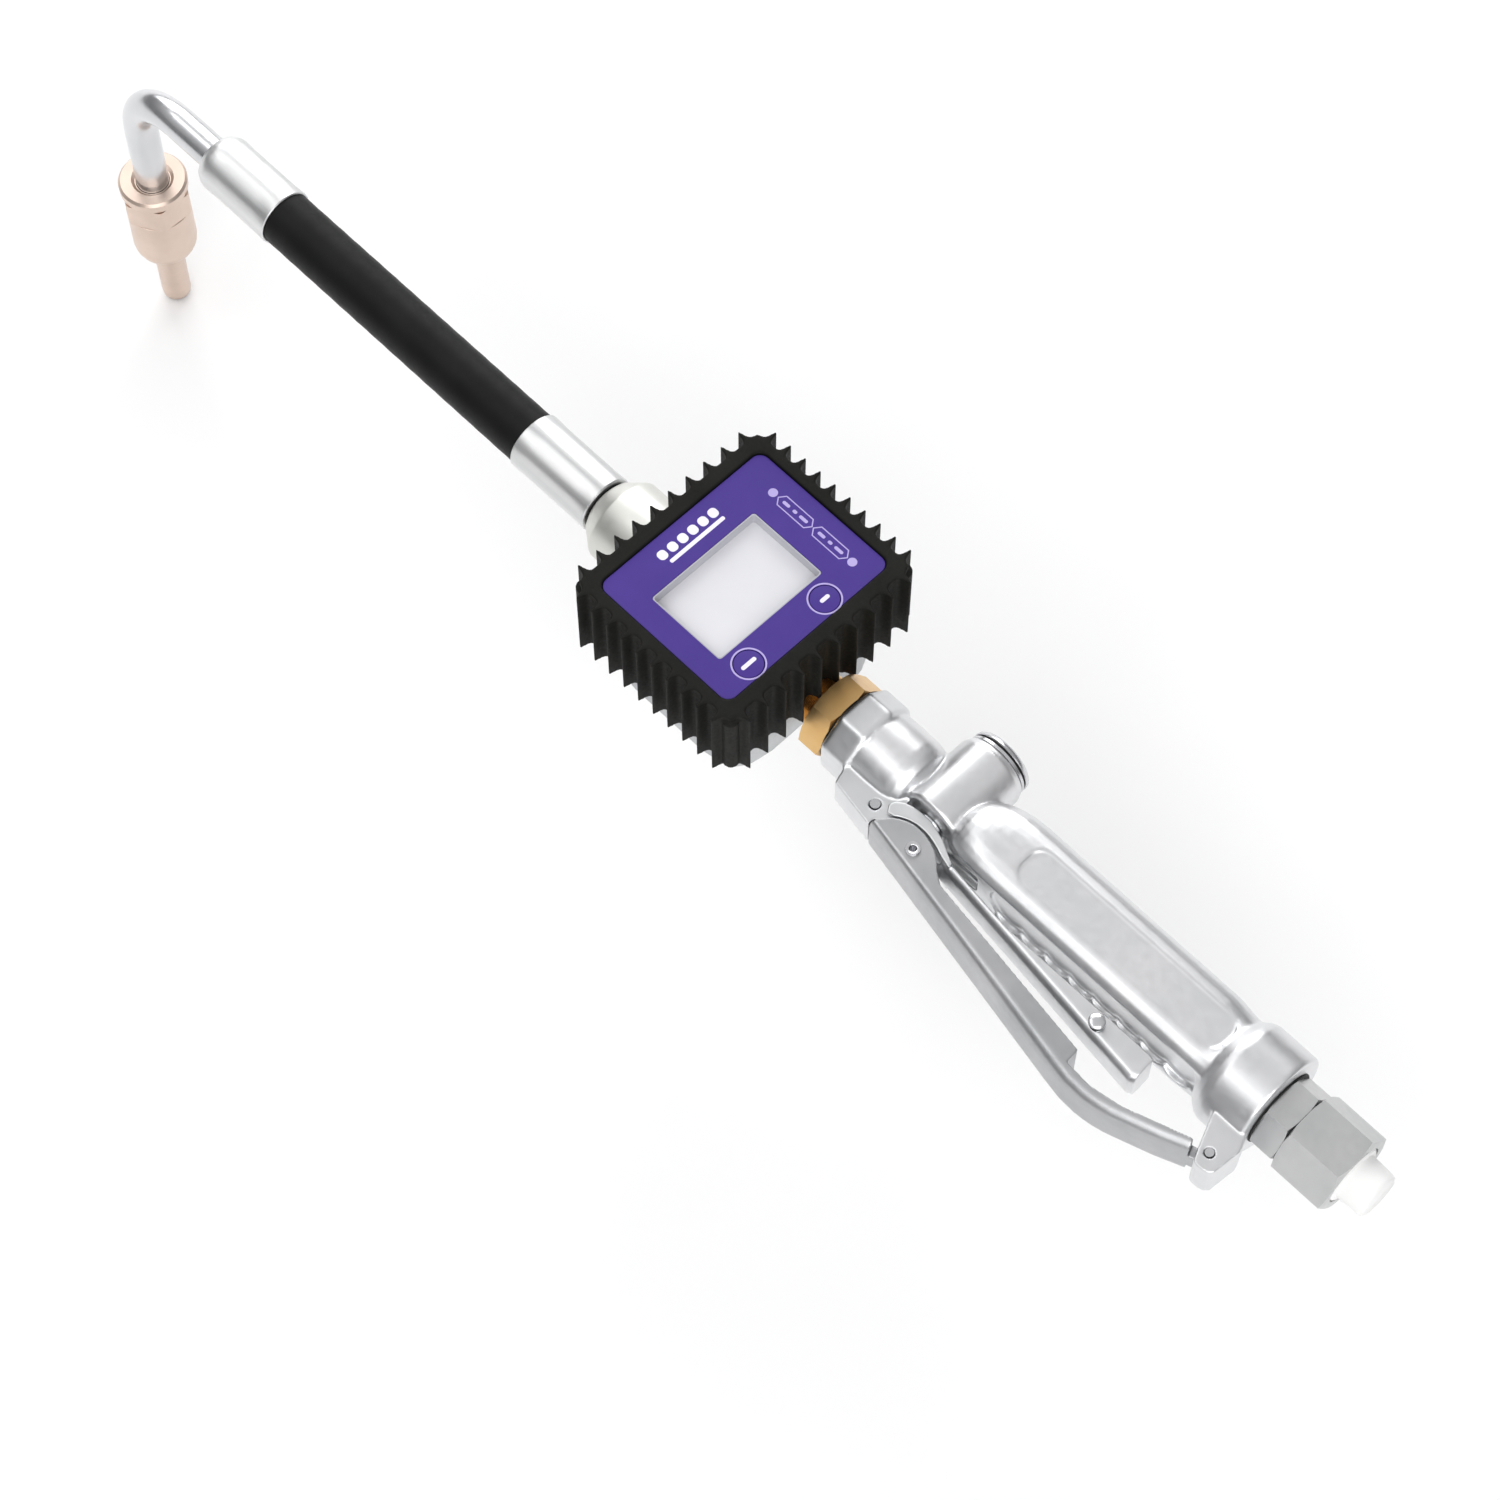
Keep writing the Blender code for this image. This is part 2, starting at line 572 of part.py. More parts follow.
def grip_section(amount, radius):
    """The grip's outline as (y, z), drawn towards a circle as amount goes to nothing."""
    half = list(GRIP_HALF)
    whole = half + [(y, -z) for y, z in reversed(half[1:-1])]
    section = []
    for y, z in whole:
        angle = math.atan2(z, y)
        section.append((
            amount * y + (1 - amount) * radius * math.cos(angle),
            amount * z + (1 - amount) * radius * math.sin(angle),
        ))
    return section


def make_grip(name):
    bm = bmesh.new()
    rings = []
    for x, amount, radius in GRIP_STATIONS:
        rings.append([bm.verts.new((x, y, AXIS_Z + z)) for y, z in grip_section(amount, radius)])
    count = len(rings[0])
    for first, second in zip(rings, rings[1:]):
        for k in range(count):
            after = (k + 1) % count
            bm.faces.new((first[k], first[after], second[after], second[k]))
    bm.faces.new(rings[0])
    bm.faces.new(rings[-1])
    return add_object(name, bm, "cast_chrome")


def slab(name, outline, half_z, finish="cast_chrome"):
    """A flat plate of the handle, even about the plane of the oil bore."""
    return prism(name, outline, AXIS_Z - half_z, AXIS_Z + half_z, finish)


def upright(name, place, radius, half_z, steps=SMALL):
    """A cylinder along Z at a place in the XY plane, even about the oil bore."""
    return rod(name, AXIS_Z - half_z, AXIS_Z + half_z, radius, axis="Z", base=(*place, 0), steps=steps)


def guard_outer(x):
    """The straight front run of the guard's outer face."""
    return -24.9 - 0.197 * (x - 84.5)


def collar_outline(radius, sides=8):
    angles = [math.radians(22.5 + 360 * k / sides) for k in range(sides)]
    return [(radius * math.cos(a), AXIS_Z + radius * math.sin(a)) for a in angles]


def handle_masses():
    """The solids that grow out of the grip to make the cast handle."""
    axis = (0, 0, AXIS_Z)
    neck = [(63, 0), (63, 14.8), (66, 15.4), (78, 15.4), (84, 14.2), (89, 7.5), (94, 7.5), (94, 0)]
    boss = [(-8, 0), (-8, 12.8), (-7, 13.6), (21, 13.6), (22, 12.9), (23.4, 12.9), (23.4, 0)]
    ring = [(220.5, 0), (220.5, 13.5), (226.5, 19.4), (229, 20.0), (RING_END_X - 0.8, 20.0),
            (RING_END_X, 19.2), (RING_END_X, 0)]
    front_lug = [
        (63.6, -6), (63.6, -16), (65.2, -21.6), (84.1, -24.8), (84.1, guard_outer(84.1) + 3.4),
        (107.6, guard_outer(107.6) + 3.4), (109.2, -23.6), (107.2, -18.7), (88.6, -19.3), (87.4, -6),
    ]
    rear_lug = [(231, -12), (236.8, -27), (240.4, -35.4), (242.0, -36.4), (246.6, -35.8), (248.2, -34),
                (249.2, -23), (244.5, -12)]
    return [
        prism("outlet_collar", collar_outline(17.2), 52, 64.5, "cast_chrome", "X"),
        turned("neck", neck, "cast_chrome", "X", axis, ROUND),
        turned("valve_boss", boss, "cast_chrome", "Y", (VALVE_X, 0, AXIS_Z), ROUND),
        turned("rear_ring", ring, "cast_chrome", "X", axis, ROUND),
        slab("front_lug", front_lug, 6.5),
        slab("rear_lug", rear_lug, 8),
    ]


def handle_hollows():
    """The passages, slots, pin holes and finger marks cut into the handle."""
    axis = (0, 0, AXIS_Z)
    chamber = [(-12, 0), (-12, 4.95), (-5.5, 4.95), (-5.5, 2.9), (-4.6, 2.9), (-4.6, 6.2), (SEAT_Y, 6.2),
               (SEAT_Y, 9.2), (30, 9.2), (30, 0)]
    tools = [
        rod("outlet_socket", 50, 63, 10.25, base=axis, steps=MEDIUM),
        rod("outlet_passage", 60, 97, 4.8, base=(0, -3, AXIS_Z)),
        rod("inlet_passage", 97, 236, 5.5, base=(0, 8, AXIS_Z)),
        rod("inlet_socket", 229, 250, 11.0, base=axis, steps=MEDIUM),
        turned("valve_chamber", chamber, "cast_chrome", "Y", (VALVE_X, 0, AXIS_Z), ROUND),
        slab("lever_slot", box_outline((75.2, -22.2), (91, -11.2)), 4.4),
        slab("lever_relief", box_outline((100, -20), (123, -9.4)), 4.7),
        slab("guard_tail_slot", box_outline((225, -34.2), (246.2, -26.2)), 4.0),
        upright("trigger_pin_hole", TRIGGER_PIVOT, 2.1, 12),
        upright("guard_pin_hole", GUARD_PIN, 1.95, 12),
        upright("guard_rear_pin_hole", GUARD_REAR_PIN, 1.9, 12),
    ]
    for k in range(SCALLOPS):
        place = (SCALLOP_START_X + SCALLOP_PITCH * k, 0, AXIS_Z)
        tools.append(rod(f"scallop_{k}", -20, -10.8, 9.4, axis="Y", base=place, steps=MEDIUM))
    for side in (-1, 1):
        face = rounded_rectangle(45.0, 7.4, 5.4, 4, (177, 0))
        low, high = sorted((AXIS_Z + side * 14.8, AXIS_Z + side * 22))
        tools.append(prism(f"side_panel_{side + 1}", face, low, high, "cast_chrome"))
    return tools


def make_handle_body():
    body = make_grip("handle_body")
    join(body, *handle_masses())
    cut(body, *handle_hollows())


def make_valve():
    base = (VALVE_X, 0, AXIS_Z)
    cap = [
        (14, 6.4), (14, 8.9), (16.9, 8.9), (16.9, 7.7), (19.1, 7.7), (19.1, 8.9), (23.7, 8.9),
        (23.7, 12.2), (24.9, 12.2), (24.9, 11.3), (25.7, 11.3), (25.7, 12.2), (27.2, 12.2),
        (28.2, 11.0), (28.2, 0), (21.0, 0), (21.0, 6.4),
    ]
    turned("bonnet_cap", cap, "bright_steel", "Y", base, ROUND)
    seal = [(17.1, 7.95), (17.1, 9.0), (18.9, 9.0), (18.9, 7.95)]
    turned("bonnet_seal", seal, "seal_rubber", "Y", base, MEDIUM)
    stem = [
        (-11.0, 0), (-11.0, 1.4), (-10.4, 2.3), (SEAT_Y + GAP, 2.3), (SEAT_Y + GAP, 7.6),
        (5.2, 7.6), (5.2, 3.3), (7.6, 3.3), (7.6, 0),
    ]
    turned("valve_stem", stem, "bright_steel", "Y", base, MEDIUM)
    coil("valve_spring", base, "Y", 4.7, 0.6, 6.1, 20.2, 6)
    gland = [(-9.4, 2.6), (-9.4, 6.0), (-8.3, 6.0), (-8.3, 4.6), (-5.8, 4.6), (-5.8, 2.6)]
    turned("stem_gland", gland, "bright_steel", "Y", base, MEDIUM)


def lever_outer(x):
    return -18.2 - 0.12 * (x - 111.5)


def lever_depth(x):
    """How far the lever's side walls stand in from its outer face."""
    return 2.6 + 8.4 * max(0.0, min(1.0, (x - 142) / 65))


# outline of the two arched plates that pass on either side of the valve stem
LEVER_SHOULDER = (
    (84.2, -15.2), (85.2, -12.8), (87.6, -11.1), (91.0, -10.0), (95.0, -9.7), (99.0, -9.9),
    (103.0, -10.9), (107.0, -12.4), (114.5, -16.0), (114.5, -17.9), (109.3, -16.5), (104.2, -14.7),
    (98.5, -13.9), (92.6, -14.9), (88.4, -17.4), (86.0, -17.8),
)


def make_trigger():
    pivot = (*TRIGGER_PIVOT, AXIS_Z)
    tip_y = lever_outer(LEVER_TIP_X)
    channel = [
        (LEVER_START_X, lever_outer(LEVER_START_X)), (LEVER_TIP_X - 2.5, lever_outer(LEVER_TIP_X - 2.5)),
        (LEVER_TIP_X - 0.3, tip_y + 1.2), (LEVER_TIP_X - 1.0, tip_y + 10.6),
        (LEVER_TIP_X - 2.6, tip_y + 11.1),
    ]
    for x in (190, 166, 142, LEVER_START_X):
        channel.append((x, lever_outer(x) + lever_depth(x)))
    low, high = AXIS_Z - LEVER_HALF_Z, AXIS_Z + LEVER_HALF_Z
    lever = prism("trigger_lever", channel, low, high, "cast_chrome", origin=pivot)
    pocket = [(144, lever_outer(144) + 2.2), (LEVER_TIP_X - 3.0, lever_outer(LEVER_TIP_X - 3.0) + 2.2),
              (LEVER_TIP_X - 3.0, 0), (144, 0)]
    hollow = slab("lever_pocket", pocket, LEVER_HALF_Z - LEVER_WALL)
    tongue = []
    for k in range(9):
        angle = math.radians(75 + 195 * k / 8)
        tongue.append((TRIGGER_PIVOT[0] + 4.0 * math.cos(angle), TRIGGER_PIVOT[1] + 4.0 * math.sin(angle)))
    tongue += [(83.4, -20.6), (87.6, -18.5), (96, -17.4), (104, -17.4), (118, lever_outer(118) + 0.3),
               (118, lever_outer(118) + 2.3), (112, -13.6), (104, -11.4), (90.5, -11.4), (86.2, -13.0)]
    shoulders = []
    for side in (-1, 1):
        near, far = sorted((AXIS_Z + side * 6.9, AXIS_Z + side * 8.6))
        shoulders.append(prism(f"shoulder_{side + 1}", LEVER_SHOULDER, near, far, "cast_chrome"))
    join(lever, slab("lever_tongue", tongue, 4.0), *shoulders)
    cut(lever, hollow, upright("lever_eye", TRIGGER_PIVOT, 2.15, 12), upright("lock_hole", LOCK_AT, 2.35, 12))
    pin_half = 6.9
    upright("trigger_pin", TRIGGER_PIVOT, 1.85, pin_half)
    lock = [(AXIS_Z - 8.4, 0), (AXIS_Z - 8.4, 2.05), (AXIS_Z + 9.0, 2.05), (AXIS_Z + 9.0, 2.9),
            (AXIS_Z + 10.3, 2.9), (AXIS_Z + 10.8, 2.3), (AXIS_Z + 10.8, 0)]
    turned("lock_button", lock, "bright_steel", "Z", (*LOCK_AT, 0), SMALL, (*LOCK_AT, AXIS_Z))


def make_guard():
    head = [(84.5, -24.9), (85.4, -22.9), (88.4, -18.8), (93, -15.9), (98.5, -14.9), (104, -15.6),
            (109, -18.0), (113.5, -22.0), (117.5, -24.6)]
    inner = [(189.3, -34.8), (189.7, -40.4), (200.5, -41.0), (212.4, -38.9), (236, -30.6)]
    outer = [(237.6, -34.5), (227.5, -38.7), (214.5, -43.2), (207.0, -45.2), (199.5, -46.2),
             (192.5, -46.0), (186.0, guard_outer(186))]
    guard = slab("trigger_guard", head + inner + outer, GUARD_HALF_Z)
    hollow = [(60, -17), (60, guard_outer(60) + 3), (187, guard_outer(187) + 3), (187, -5), (60, -5)]
    tail = [(234, -31.2), (245.6, -27.0), (245.6, -33.2), (241, -33.4), (234, -35.9)]
    join(guard, slab("guard_tail", tail, 3.6))
    cut(
        guard,
        upright("guard_front_hole", GUARD_PIN, 1.95, 12),
        upright("guard_rear_hole", GUARD_REAR_PIN, 1.9, 12),
        slab("guard_channel", hollow, GUARD_HALF_Z - GUARD_CHEEK),
    )
    pin = [(-9.7, 0), (-9.7, 1.3), (-10.5, 1.5), (-10.5, 2.6), (-9.8, 2.6), (-9.8, 1.65), (9.8, 1.65),
           (9.8, 2.6), (10.5, 2.6), (10.5, 1.5), (9.7, 1.3), (9.7, 0)]
    turned("guard_front_pin", pin, "bright_steel", "Z", (*GUARD_PIN, AXIS_Z), SMALL)
    upright("guard_rear_pin", GUARD_REAR_PIN, 1.6, 8.4)


def make_inlet():
    axis = (0, 0, AXIS_Z)
    gland = hex_nut("inlet_gland", 25.0, RING_END_X + GAP, 256.2, 6.2, "zinc_steel", 0.7, HEX_TURN)
    sleeve = [(229.5, 6.2), (229.5, 10.7), (250, 10.7), (250, 9.2), (260.7, 9.2), (260.7, 11.0),
              (263.0, 11.0), (263.0, 6.2)]
    join(gland, turned("gland_sleeve", sleeve, "zinc_steel", "X", axis, MEDIUM))
    nut = hex_nut("swivel_nut", 28.0, SWIVEL_START_X, SWIVEL_END_X, 9.6, "zinc_steel", 0.8, HEX_TURN)
    cut(nut, rod("swivel_chamber", 260.3, 285, 11.5, base=axis, steps=MEDIUM))
    seal = [(263.3, 7.0), (263.3, 10.6), (265.2, 10.6), (265.2, 7.0)]
    turned("swivel_seal", seal, "seal_rubber", "X", axis, MEDIUM)
    screen = [(231, 0), (231, 5.6), (261.5, 5.6), (261.5, 4.9), (231.8, 4.9), (231.8, 0)]
    turned("inlet_strainer", screen, "bright_steel", "X", axis, MEDIUM)
    plug = [(266, 6.0), (266, 11.1), (278.7, 11.1), (278.7, 8.7), (288.0, 8.5), (289.0, 7.6), (289.0, 0),
            (270, 0), (270, 6.0)]
    turned("inlet_plug", plug, "white_plastic", "X", axis, MEDIUM)


clear_scene()
make_meter_body()
make_back_cover()
make_chamber_cover()
make_gears()
make_boot()
make_display()
make_meter_fittings()
make_hose()
make_spout_tube()
make_nozzle()
make_handle_body()
make_valve()
make_trigger()
make_guard()
make_inlet()
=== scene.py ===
"""Studio view of the oil control gun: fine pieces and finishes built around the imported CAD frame.

Lengths here are in millimetres and become metres when each piece is made. The axes are the CAD
model's: X along the oil bore, +Z the way the display faces, the trigger on the -Y side.
"""

import json
import math

import bmesh
import bpy
from mathutils import Matrix, Vector


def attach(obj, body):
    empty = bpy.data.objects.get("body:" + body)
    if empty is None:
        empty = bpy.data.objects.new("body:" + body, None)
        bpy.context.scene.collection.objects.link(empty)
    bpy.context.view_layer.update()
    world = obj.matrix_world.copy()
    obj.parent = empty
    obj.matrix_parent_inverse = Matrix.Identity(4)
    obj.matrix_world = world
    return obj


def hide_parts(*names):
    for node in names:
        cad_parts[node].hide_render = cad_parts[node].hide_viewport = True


MM = 0.001
AXIS_Z = 22.0  # height of the oil bore
BORE = (0, 0, AXIS_Z)
LABEL_Z = 59.0
HOSE_FRONT_X = -237.5
HOSE_REAR_X = -106.0
HOSE_R = 10.5
HOSE_BORE_R = 7.0
HOSE_HELD = 18.0  # length of hose drawn inside each ferrule
FERRULE_R = 11.3
FERRULE_BORE_R = HOSE_R + 0.15
FERRULE_LENGTH = 37.5
FERRULE_WALL = 18.5  # from the ferrule's mouth to the end of its wide bore
TUBE_R = 6.35
SPOUT_X = -324.5
SPOUT_BEND_R = 29.0
NOZZLE_TOP = AXIS_Z - 62.0
NOZZLE_TIP = AXIS_Z - 137.5
VALVE_X = 96.5
TRIGGER_PIVOT = (80.5, -17.8)
LEVER_START_X = 110.5
LEVER_TIP_X = 209.0
LOCK_AT = (186.8, -23.3)
GUARD_PIN = (102.0, -21.9)
GUARD_REAR_PIN = (242.5, -30.2)
RING_END_X = 245.7
WINDOW_LOW = (-15.3, -28.3)
WINDOW_HIGH = (17.5, 19.4)
BUTTON_X = 25.2
RESET_Y = -22.5
CALIBRATE_Y = 12.8
BUTTONS = (("reset", RESET_Y), ("calibrate", CALIBRATE_Y))
LEGEND_Y = 29.3  # line of the two long hexagons
BOOT_HALF = (36.7, 42.0)
BOOT_LOW = 26.0
BOOT_HIGH = 60.0
HEX_TURN = 5  # degrees that the nuts are turned about the bore
FLOOR_Z = -117.0

FINE = 128  # sides of the large round pieces
MIDDLE = 72
COARSE = 48
MOTTLE = 45  # noise scale of the slow change in a metal's tone
STREAK = 210  # the same for metal that was drawn lengthwise
AXES = {
    "X": Vector((1, 0, 0)),
    "-X": Vector((-1, 0, 0)),
    "Y": Vector((0, 1, 0)),
    "Z": Vector((0, 0, 1)),
}

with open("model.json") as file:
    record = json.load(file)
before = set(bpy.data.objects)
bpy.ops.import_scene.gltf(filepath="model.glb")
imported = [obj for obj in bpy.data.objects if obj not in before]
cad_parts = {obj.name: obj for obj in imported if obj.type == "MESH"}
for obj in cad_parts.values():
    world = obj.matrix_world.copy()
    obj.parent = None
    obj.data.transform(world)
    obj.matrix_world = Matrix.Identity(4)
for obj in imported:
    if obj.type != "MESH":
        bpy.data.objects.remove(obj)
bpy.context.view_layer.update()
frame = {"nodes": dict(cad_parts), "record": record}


# ---- materials ----------------------------------------------------------------------------
def shader_of(name):
    """A new material with its node tree and its shader."""
    made = bpy.data.materials.new(name)
    made.use_nodes = True
    return made, made.node_tree, made.node_tree.nodes["Principled BSDF"]


def noise(tree, scale, detail=4.0, along=1.0):
    """Noise at a place on the object; along under 1 draws it out into streaks along X."""
    place = tree.nodes.new("ShaderNodeTexCoord")
    mapping = tree.nodes.new("ShaderNodeMapping")
    mapping.inputs["Scale"].default_value = (along, 1, 1)
    made = tree.nodes.new("ShaderNodeTexNoise")
    made.inputs["Scale"].default_value = scale
    made.inputs["Detail"].default_value = detail
    tree.links.new(place.outputs["Object"], mapping.inputs["Vector"])
    tree.links.new(mapping.outputs["Vector"], made.inputs["Vector"])
    return made.outputs["Fac"]


def spread(tree, value, low, high):
    """Maps the middle of a 0..1 noise value to a range."""
    made = tree.nodes.new("ShaderNodeMapRange")
    made.inputs["From Min"].default_value = 0.3
    made.inputs["From Max"].default_value = 0.7
    made.inputs["To Min"].default_value = low
    made.inputs["To Max"].default_value = high
    tree.links.new(value, made.inputs["Value"])
    return made.outputs["Result"]


def shades(tree, value, dark, light):
    """Maps a 0..1 value to a colour between two shades."""
    ramp = tree.nodes.new("ShaderNodeValToRGB")
    ramp.color_ramp.elements[0].position = 0.3
    ramp.color_ramp.elements[0].color = (*dark, 1)
    ramp.color_ramp.elements[1].position = 0.7
    ramp.color_ramp.elements[1].color = (*light, 1)
    tree.links.new(value, ramp.inputs["Fac"])
    return ramp.outputs["Color"]


def bumped(tree, shader, value, strength, depth):
    bump = tree.nodes.new("ShaderNodeBump")
    bump.inputs["Strength"].default_value = strength
    bump.inputs["Distance"].default_value = depth * MM
    tree.links.new(value, bump.inputs["Height"])
    tree.links.new(bump.outputs["Normal"], shader.inputs["Normal"])


def metal(name, dark, light, roughness, grain, depth, mottle=MOTTLE, along=1.0):
    """Metal whose tone and roughness wander a little, with a fine surface grain."""
    made, tree, shader = shader_of(name)
    shader.inputs["Metallic"].default_value = 1.0
    broad = noise(tree, mottle, 3, along)
    tree.links.new(shades(tree, broad, dark, light), shader.inputs["Base Color"])
    fine = noise(tree, grain, 3, along)
    tree.links.new(spread(tree, fine, *roughness), shader.inputs["Roughness"])
    bumped(tree, shader, fine, 0.12, depth)
    return made


def drawn_metal(name, dark, light, roughness, grain, depth):
    """Metal drawn or crimped lengthwise, with fine streaks along X."""
    return metal(name, dark, light, roughness, grain, depth, STREAK, 0.03)


def plain(name, dark, light, roughness, grain, depth):
    """Rubber, plastic or printed film, with mottled colour and a fine moulded texture."""
    made, tree, shader = shader_of(name)
    shader.inputs["Specular IOR Level"].default_value = 0.35
    broad = noise(tree, 60, 4)
    tree.links.new(shades(tree, broad, dark, light), shader.inputs["Base Color"])
    fine = noise(tree, grain, 4)
    tree.links.new(spread(tree, fine, *roughness), shader.inputs["Roughness"])
    bumped(tree, shader, fine, 0.5, depth)
    return made


def rubber(name, dark, light, roughness, grain, depth):
    made = plain(name, dark, light, roughness, grain, depth)
    made.node_tree.nodes["Principled BSDF"].inputs["Specular IOR Level"].default_value = 0.16
    return made


# kind of material, then dark and light shade, roughness range, grain scale, grain depth in mm
FINISHES = {
    "cast_chrome": (metal, (0.70, 0.71, 0.72), (0.78, 0.78, 0.79), (0.34, 0.42), 400, 0.004),
    "bright_steel": (metal, (0.62, 0.63, 0.64), (0.70, 0.70, 0.72), (0.20, 0.27), 500, 0.002),
    # guard_chrome is cast_chrome made darker: painted shade for the trigger guard
    "guard_chrome": (metal, (0.42, 0.43, 0.44), (0.52, 0.52, 0.53), (0.36, 0.44), 400, 0.004),
    "zinc_steel": (metal, (0.53, 0.54, 0.54), (0.61, 0.61, 0.61), (0.34, 0.42), 400, 0.003),
    "ferrule_zinc": (drawn_metal, (0.58, 0.59, 0.59), (0.78, 0.78, 0.78), (0.32, 0.44), 420, 0.010),
    "turned_steel": (metal, (0.66, 0.66, 0.63), (0.73, 0.73, 0.69), (0.38, 0.46), 400, 0.003),
    "brass": (metal, (0.70, 0.42, 0.16), (0.80, 0.55, 0.26), (0.28, 0.36), 400, 0.003),
    "copper_brass": (metal, (0.66, 0.53, 0.45), (0.76, 0.62, 0.53), (0.34, 0.42), 500, 0.003),
    "aluminium": (metal, (0.46, 0.47, 0.48), (0.60, 0.61, 0.62), (0.45, 0.60), 700, 0.050),
    "boot_rubber": (rubber, (0.005, 0.005, 0.004), (0.010, 0.010, 0.008), (0.55, 0.70), 900, 0.050),
    "hose_rubber": (rubber, (0.004, 0.004, 0.004), (0.007, 0.007, 0.007), (0.45, 0.55), 700, 0.030),
    "violet_film": (plain, (0.050, 0.022, 0.230), (0.058, 0.027, 0.255), (0.48, 0.58), 1500, 0.010),
    "display_glass": (plain, (0.68, 0.68, 0.71), (0.71, 0.71, 0.74), (0.35, 0.45), 300, 0.004),
    "bezel_grey": (plain, (0.46, 0.46, 0.50), (0.52, 0.52, 0.56), (0.35, 0.45), 900, 0.010),
    "print_white": (plain, (0.80, 0.76, 0.90), (0.88, 0.85, 0.95), (0.40, 0.50), 1200, 0.004),
    "print_lilac": (plain, (0.42, 0.35, 0.68), (0.50, 0.43, 0.76), (0.40, 0.50), 1200, 0.004),
    "dark_plastic": (rubber, (0.008, 0.008, 0.008), (0.014, 0.014, 0.014), (0.45, 0.55), 900, 0.030),
    "white_plastic": (plain, (0.88, 0.88, 0.87), (0.93, 0.93, 0.92), (0.30, 0.42), 700, 0.020),
    "seal": (rubber, (0.008, 0.008, 0.008), (0.014, 0.014, 0.014), (0.45, 0.60), 900, 0.020),
    "circuit_green": (plain, (0.01, 0.12, 0.04), (0.02, 0.16, 0.06), (0.30, 0.50), 900, 0.020),
    "cell": (plain, (0.03, 0.07, 0.28), (0.04, 0.09, 0.33), (0.20, 0.35), 600, 0.005),
    "gear_polymer": (plain, (0.68, 0.65, 0.55), (0.74, 0.71, 0.60), (0.40, 0.55), 800, 0.010),
}
MATERIALS = {name: made(name, *facts) for name, (made, *facts) in FINISHES.items()}


# ---- making pieces ------------------------------------------------------------------------
def as_object(name, bm):
    bmesh.ops.scale(bm, vec=(MM, MM, MM), verts=bm.verts)
    bmesh.ops.recalc_face_normals(bm, faces=bm.faces)
    if bm.calc_volume(signed=True) < 0:
        bmesh.ops.reverse_faces(bm, faces=bm.faces)
    mesh = bpy.data.meshes.new(name)
    bm.to_mesh(mesh)
    bm.free()
    thing = bpy.data.objects.new(name, mesh)
    bpy.context.scene.collection.objects.link(thing)
    return thing


def turned(name, profile, axis="X", base=(0, 0, 0), steps=FINE):
    """A solid of revolution from a closed outline of (along, radius) points."""
    bm = bmesh.new()
    points = [bm.verts.new((radius, 0, along)) for along, radius in profile]
    edges = []
    for k, point in enumerate(points):
        after = points[(k + 1) % len(points)]
        if point.co.x > 0 or after.co.x > 0:
            edges.append(bm.edges.new((point, after)))
    bmesh.ops.spin(bm, geom=points + edges, cent=(0, 0, 0), axis=(0, 0, 1), dvec=(0, 0, 0),
                   angle=2 * math.pi, steps=steps, use_merge=False, use_duplicate=False)
    bmesh.ops.remove_doubles(bm, verts=bm.verts, dist=0.0005)
    turn = Vector((0, 0, 1)).rotation_difference(AXES[axis]).to_matrix()
    bmesh.ops.rotate(bm, cent=(0, 0, 0), matrix=turn, verts=bm.verts)
    bmesh.ops.translate(bm, vec=base, verts=bm.verts)
    return as_object(name, bm)


def rod(name, start, end, radius, axis="X", base=(0, 0, 0), steps=MIDDLE):
    return turned(name, [(start, 0), (start, radius), (end, radius), (end, 0)], axis, base, steps)


def prism(name, outline, low, high, axis="Z"):
    place = {
        "Z": lambda u, v, w: (u, v, w),
        "Y": lambda u, v, w: (u, w, v),
        "X": lambda u, v, w: (w, u, v),
    }[axis]
    bm = bmesh.new()
    floor = bm.faces.new([bm.verts.new(place(u, v, low)) for u, v in outline])
    roof = bmesh.ops.extrude_face_region(bm, geom=[floor])["geom"]
    moved = [item for item in roof if isinstance(item, bmesh.types.BMVert)]
    bmesh.ops.translate(bm, vec=AXES[axis] * (high - low), verts=moved)
    return as_object(name, bm)


def slab(name, outline, half_z):
    return prism(name, outline, AXIS_Z - half_z, AXIS_Z + half_z)


def upright(name, place, radius, half_z):
    return rod(name, AXIS_Z - half_z, AXIS_Z + half_z, radius, "Z", (*place, 0), COARSE)


def rounded_rectangle(half_x, half_y, radius, steps=8, centre=(0, 0)):
    outline = []
    for corner in range(4):
        sx, sy = ((1, 1), (-1, 1), (-1, -1), (1, -1))[corner]
        cx = centre[0] + sx * (half_x - radius)
        cy = centre[1] + sy * (half_y - radius)
        for k in range(steps + 1):
            angle = math.radians(90 * (corner + k / steps))
            outline.append((cx + radius * math.cos(angle), cy + radius * math.sin(angle)))
    return outline


def box_outline(low, high):
    return [low, (high[0], low[1]), high, (low[0], high[1])]


def regular(sides, across_flats, centre=(0, 0), turn=0.0):
    radius = across_flats / 2 / math.cos(math.pi / sides)
    angles = [math.radians(turn + 360 * k / sides) for k in range(sides)]
    return [(centre[0] + radius * math.cos(a), centre[1] + radius * math.sin(a)) for a in angles]


def combine(thing, operation, tools):
    """Applies one Boolean of the piece with all the tools, and throws the tools away."""
    group = bpy.data.collections.new(thing.name + "_tools")
    for tool in tools:
        group.objects.link(tool)
    step = thing.modifiers.new("combine", "BOOLEAN")
    step.operation = operation
    step.operand_type = "COLLECTION"
    step.collection = group
    step.solver = "EXACT"
    settle(thing)
    for tool in tools:
        bpy.data.objects.remove(tool, do_unlink=True)
    bpy.data.collections.remove(group)
    return thing


def cut(thing, *tools):
    return combine(thing, "DIFFERENCE", tools)


def join(thing, *tools):
    return combine(thing, "UNION", tools)


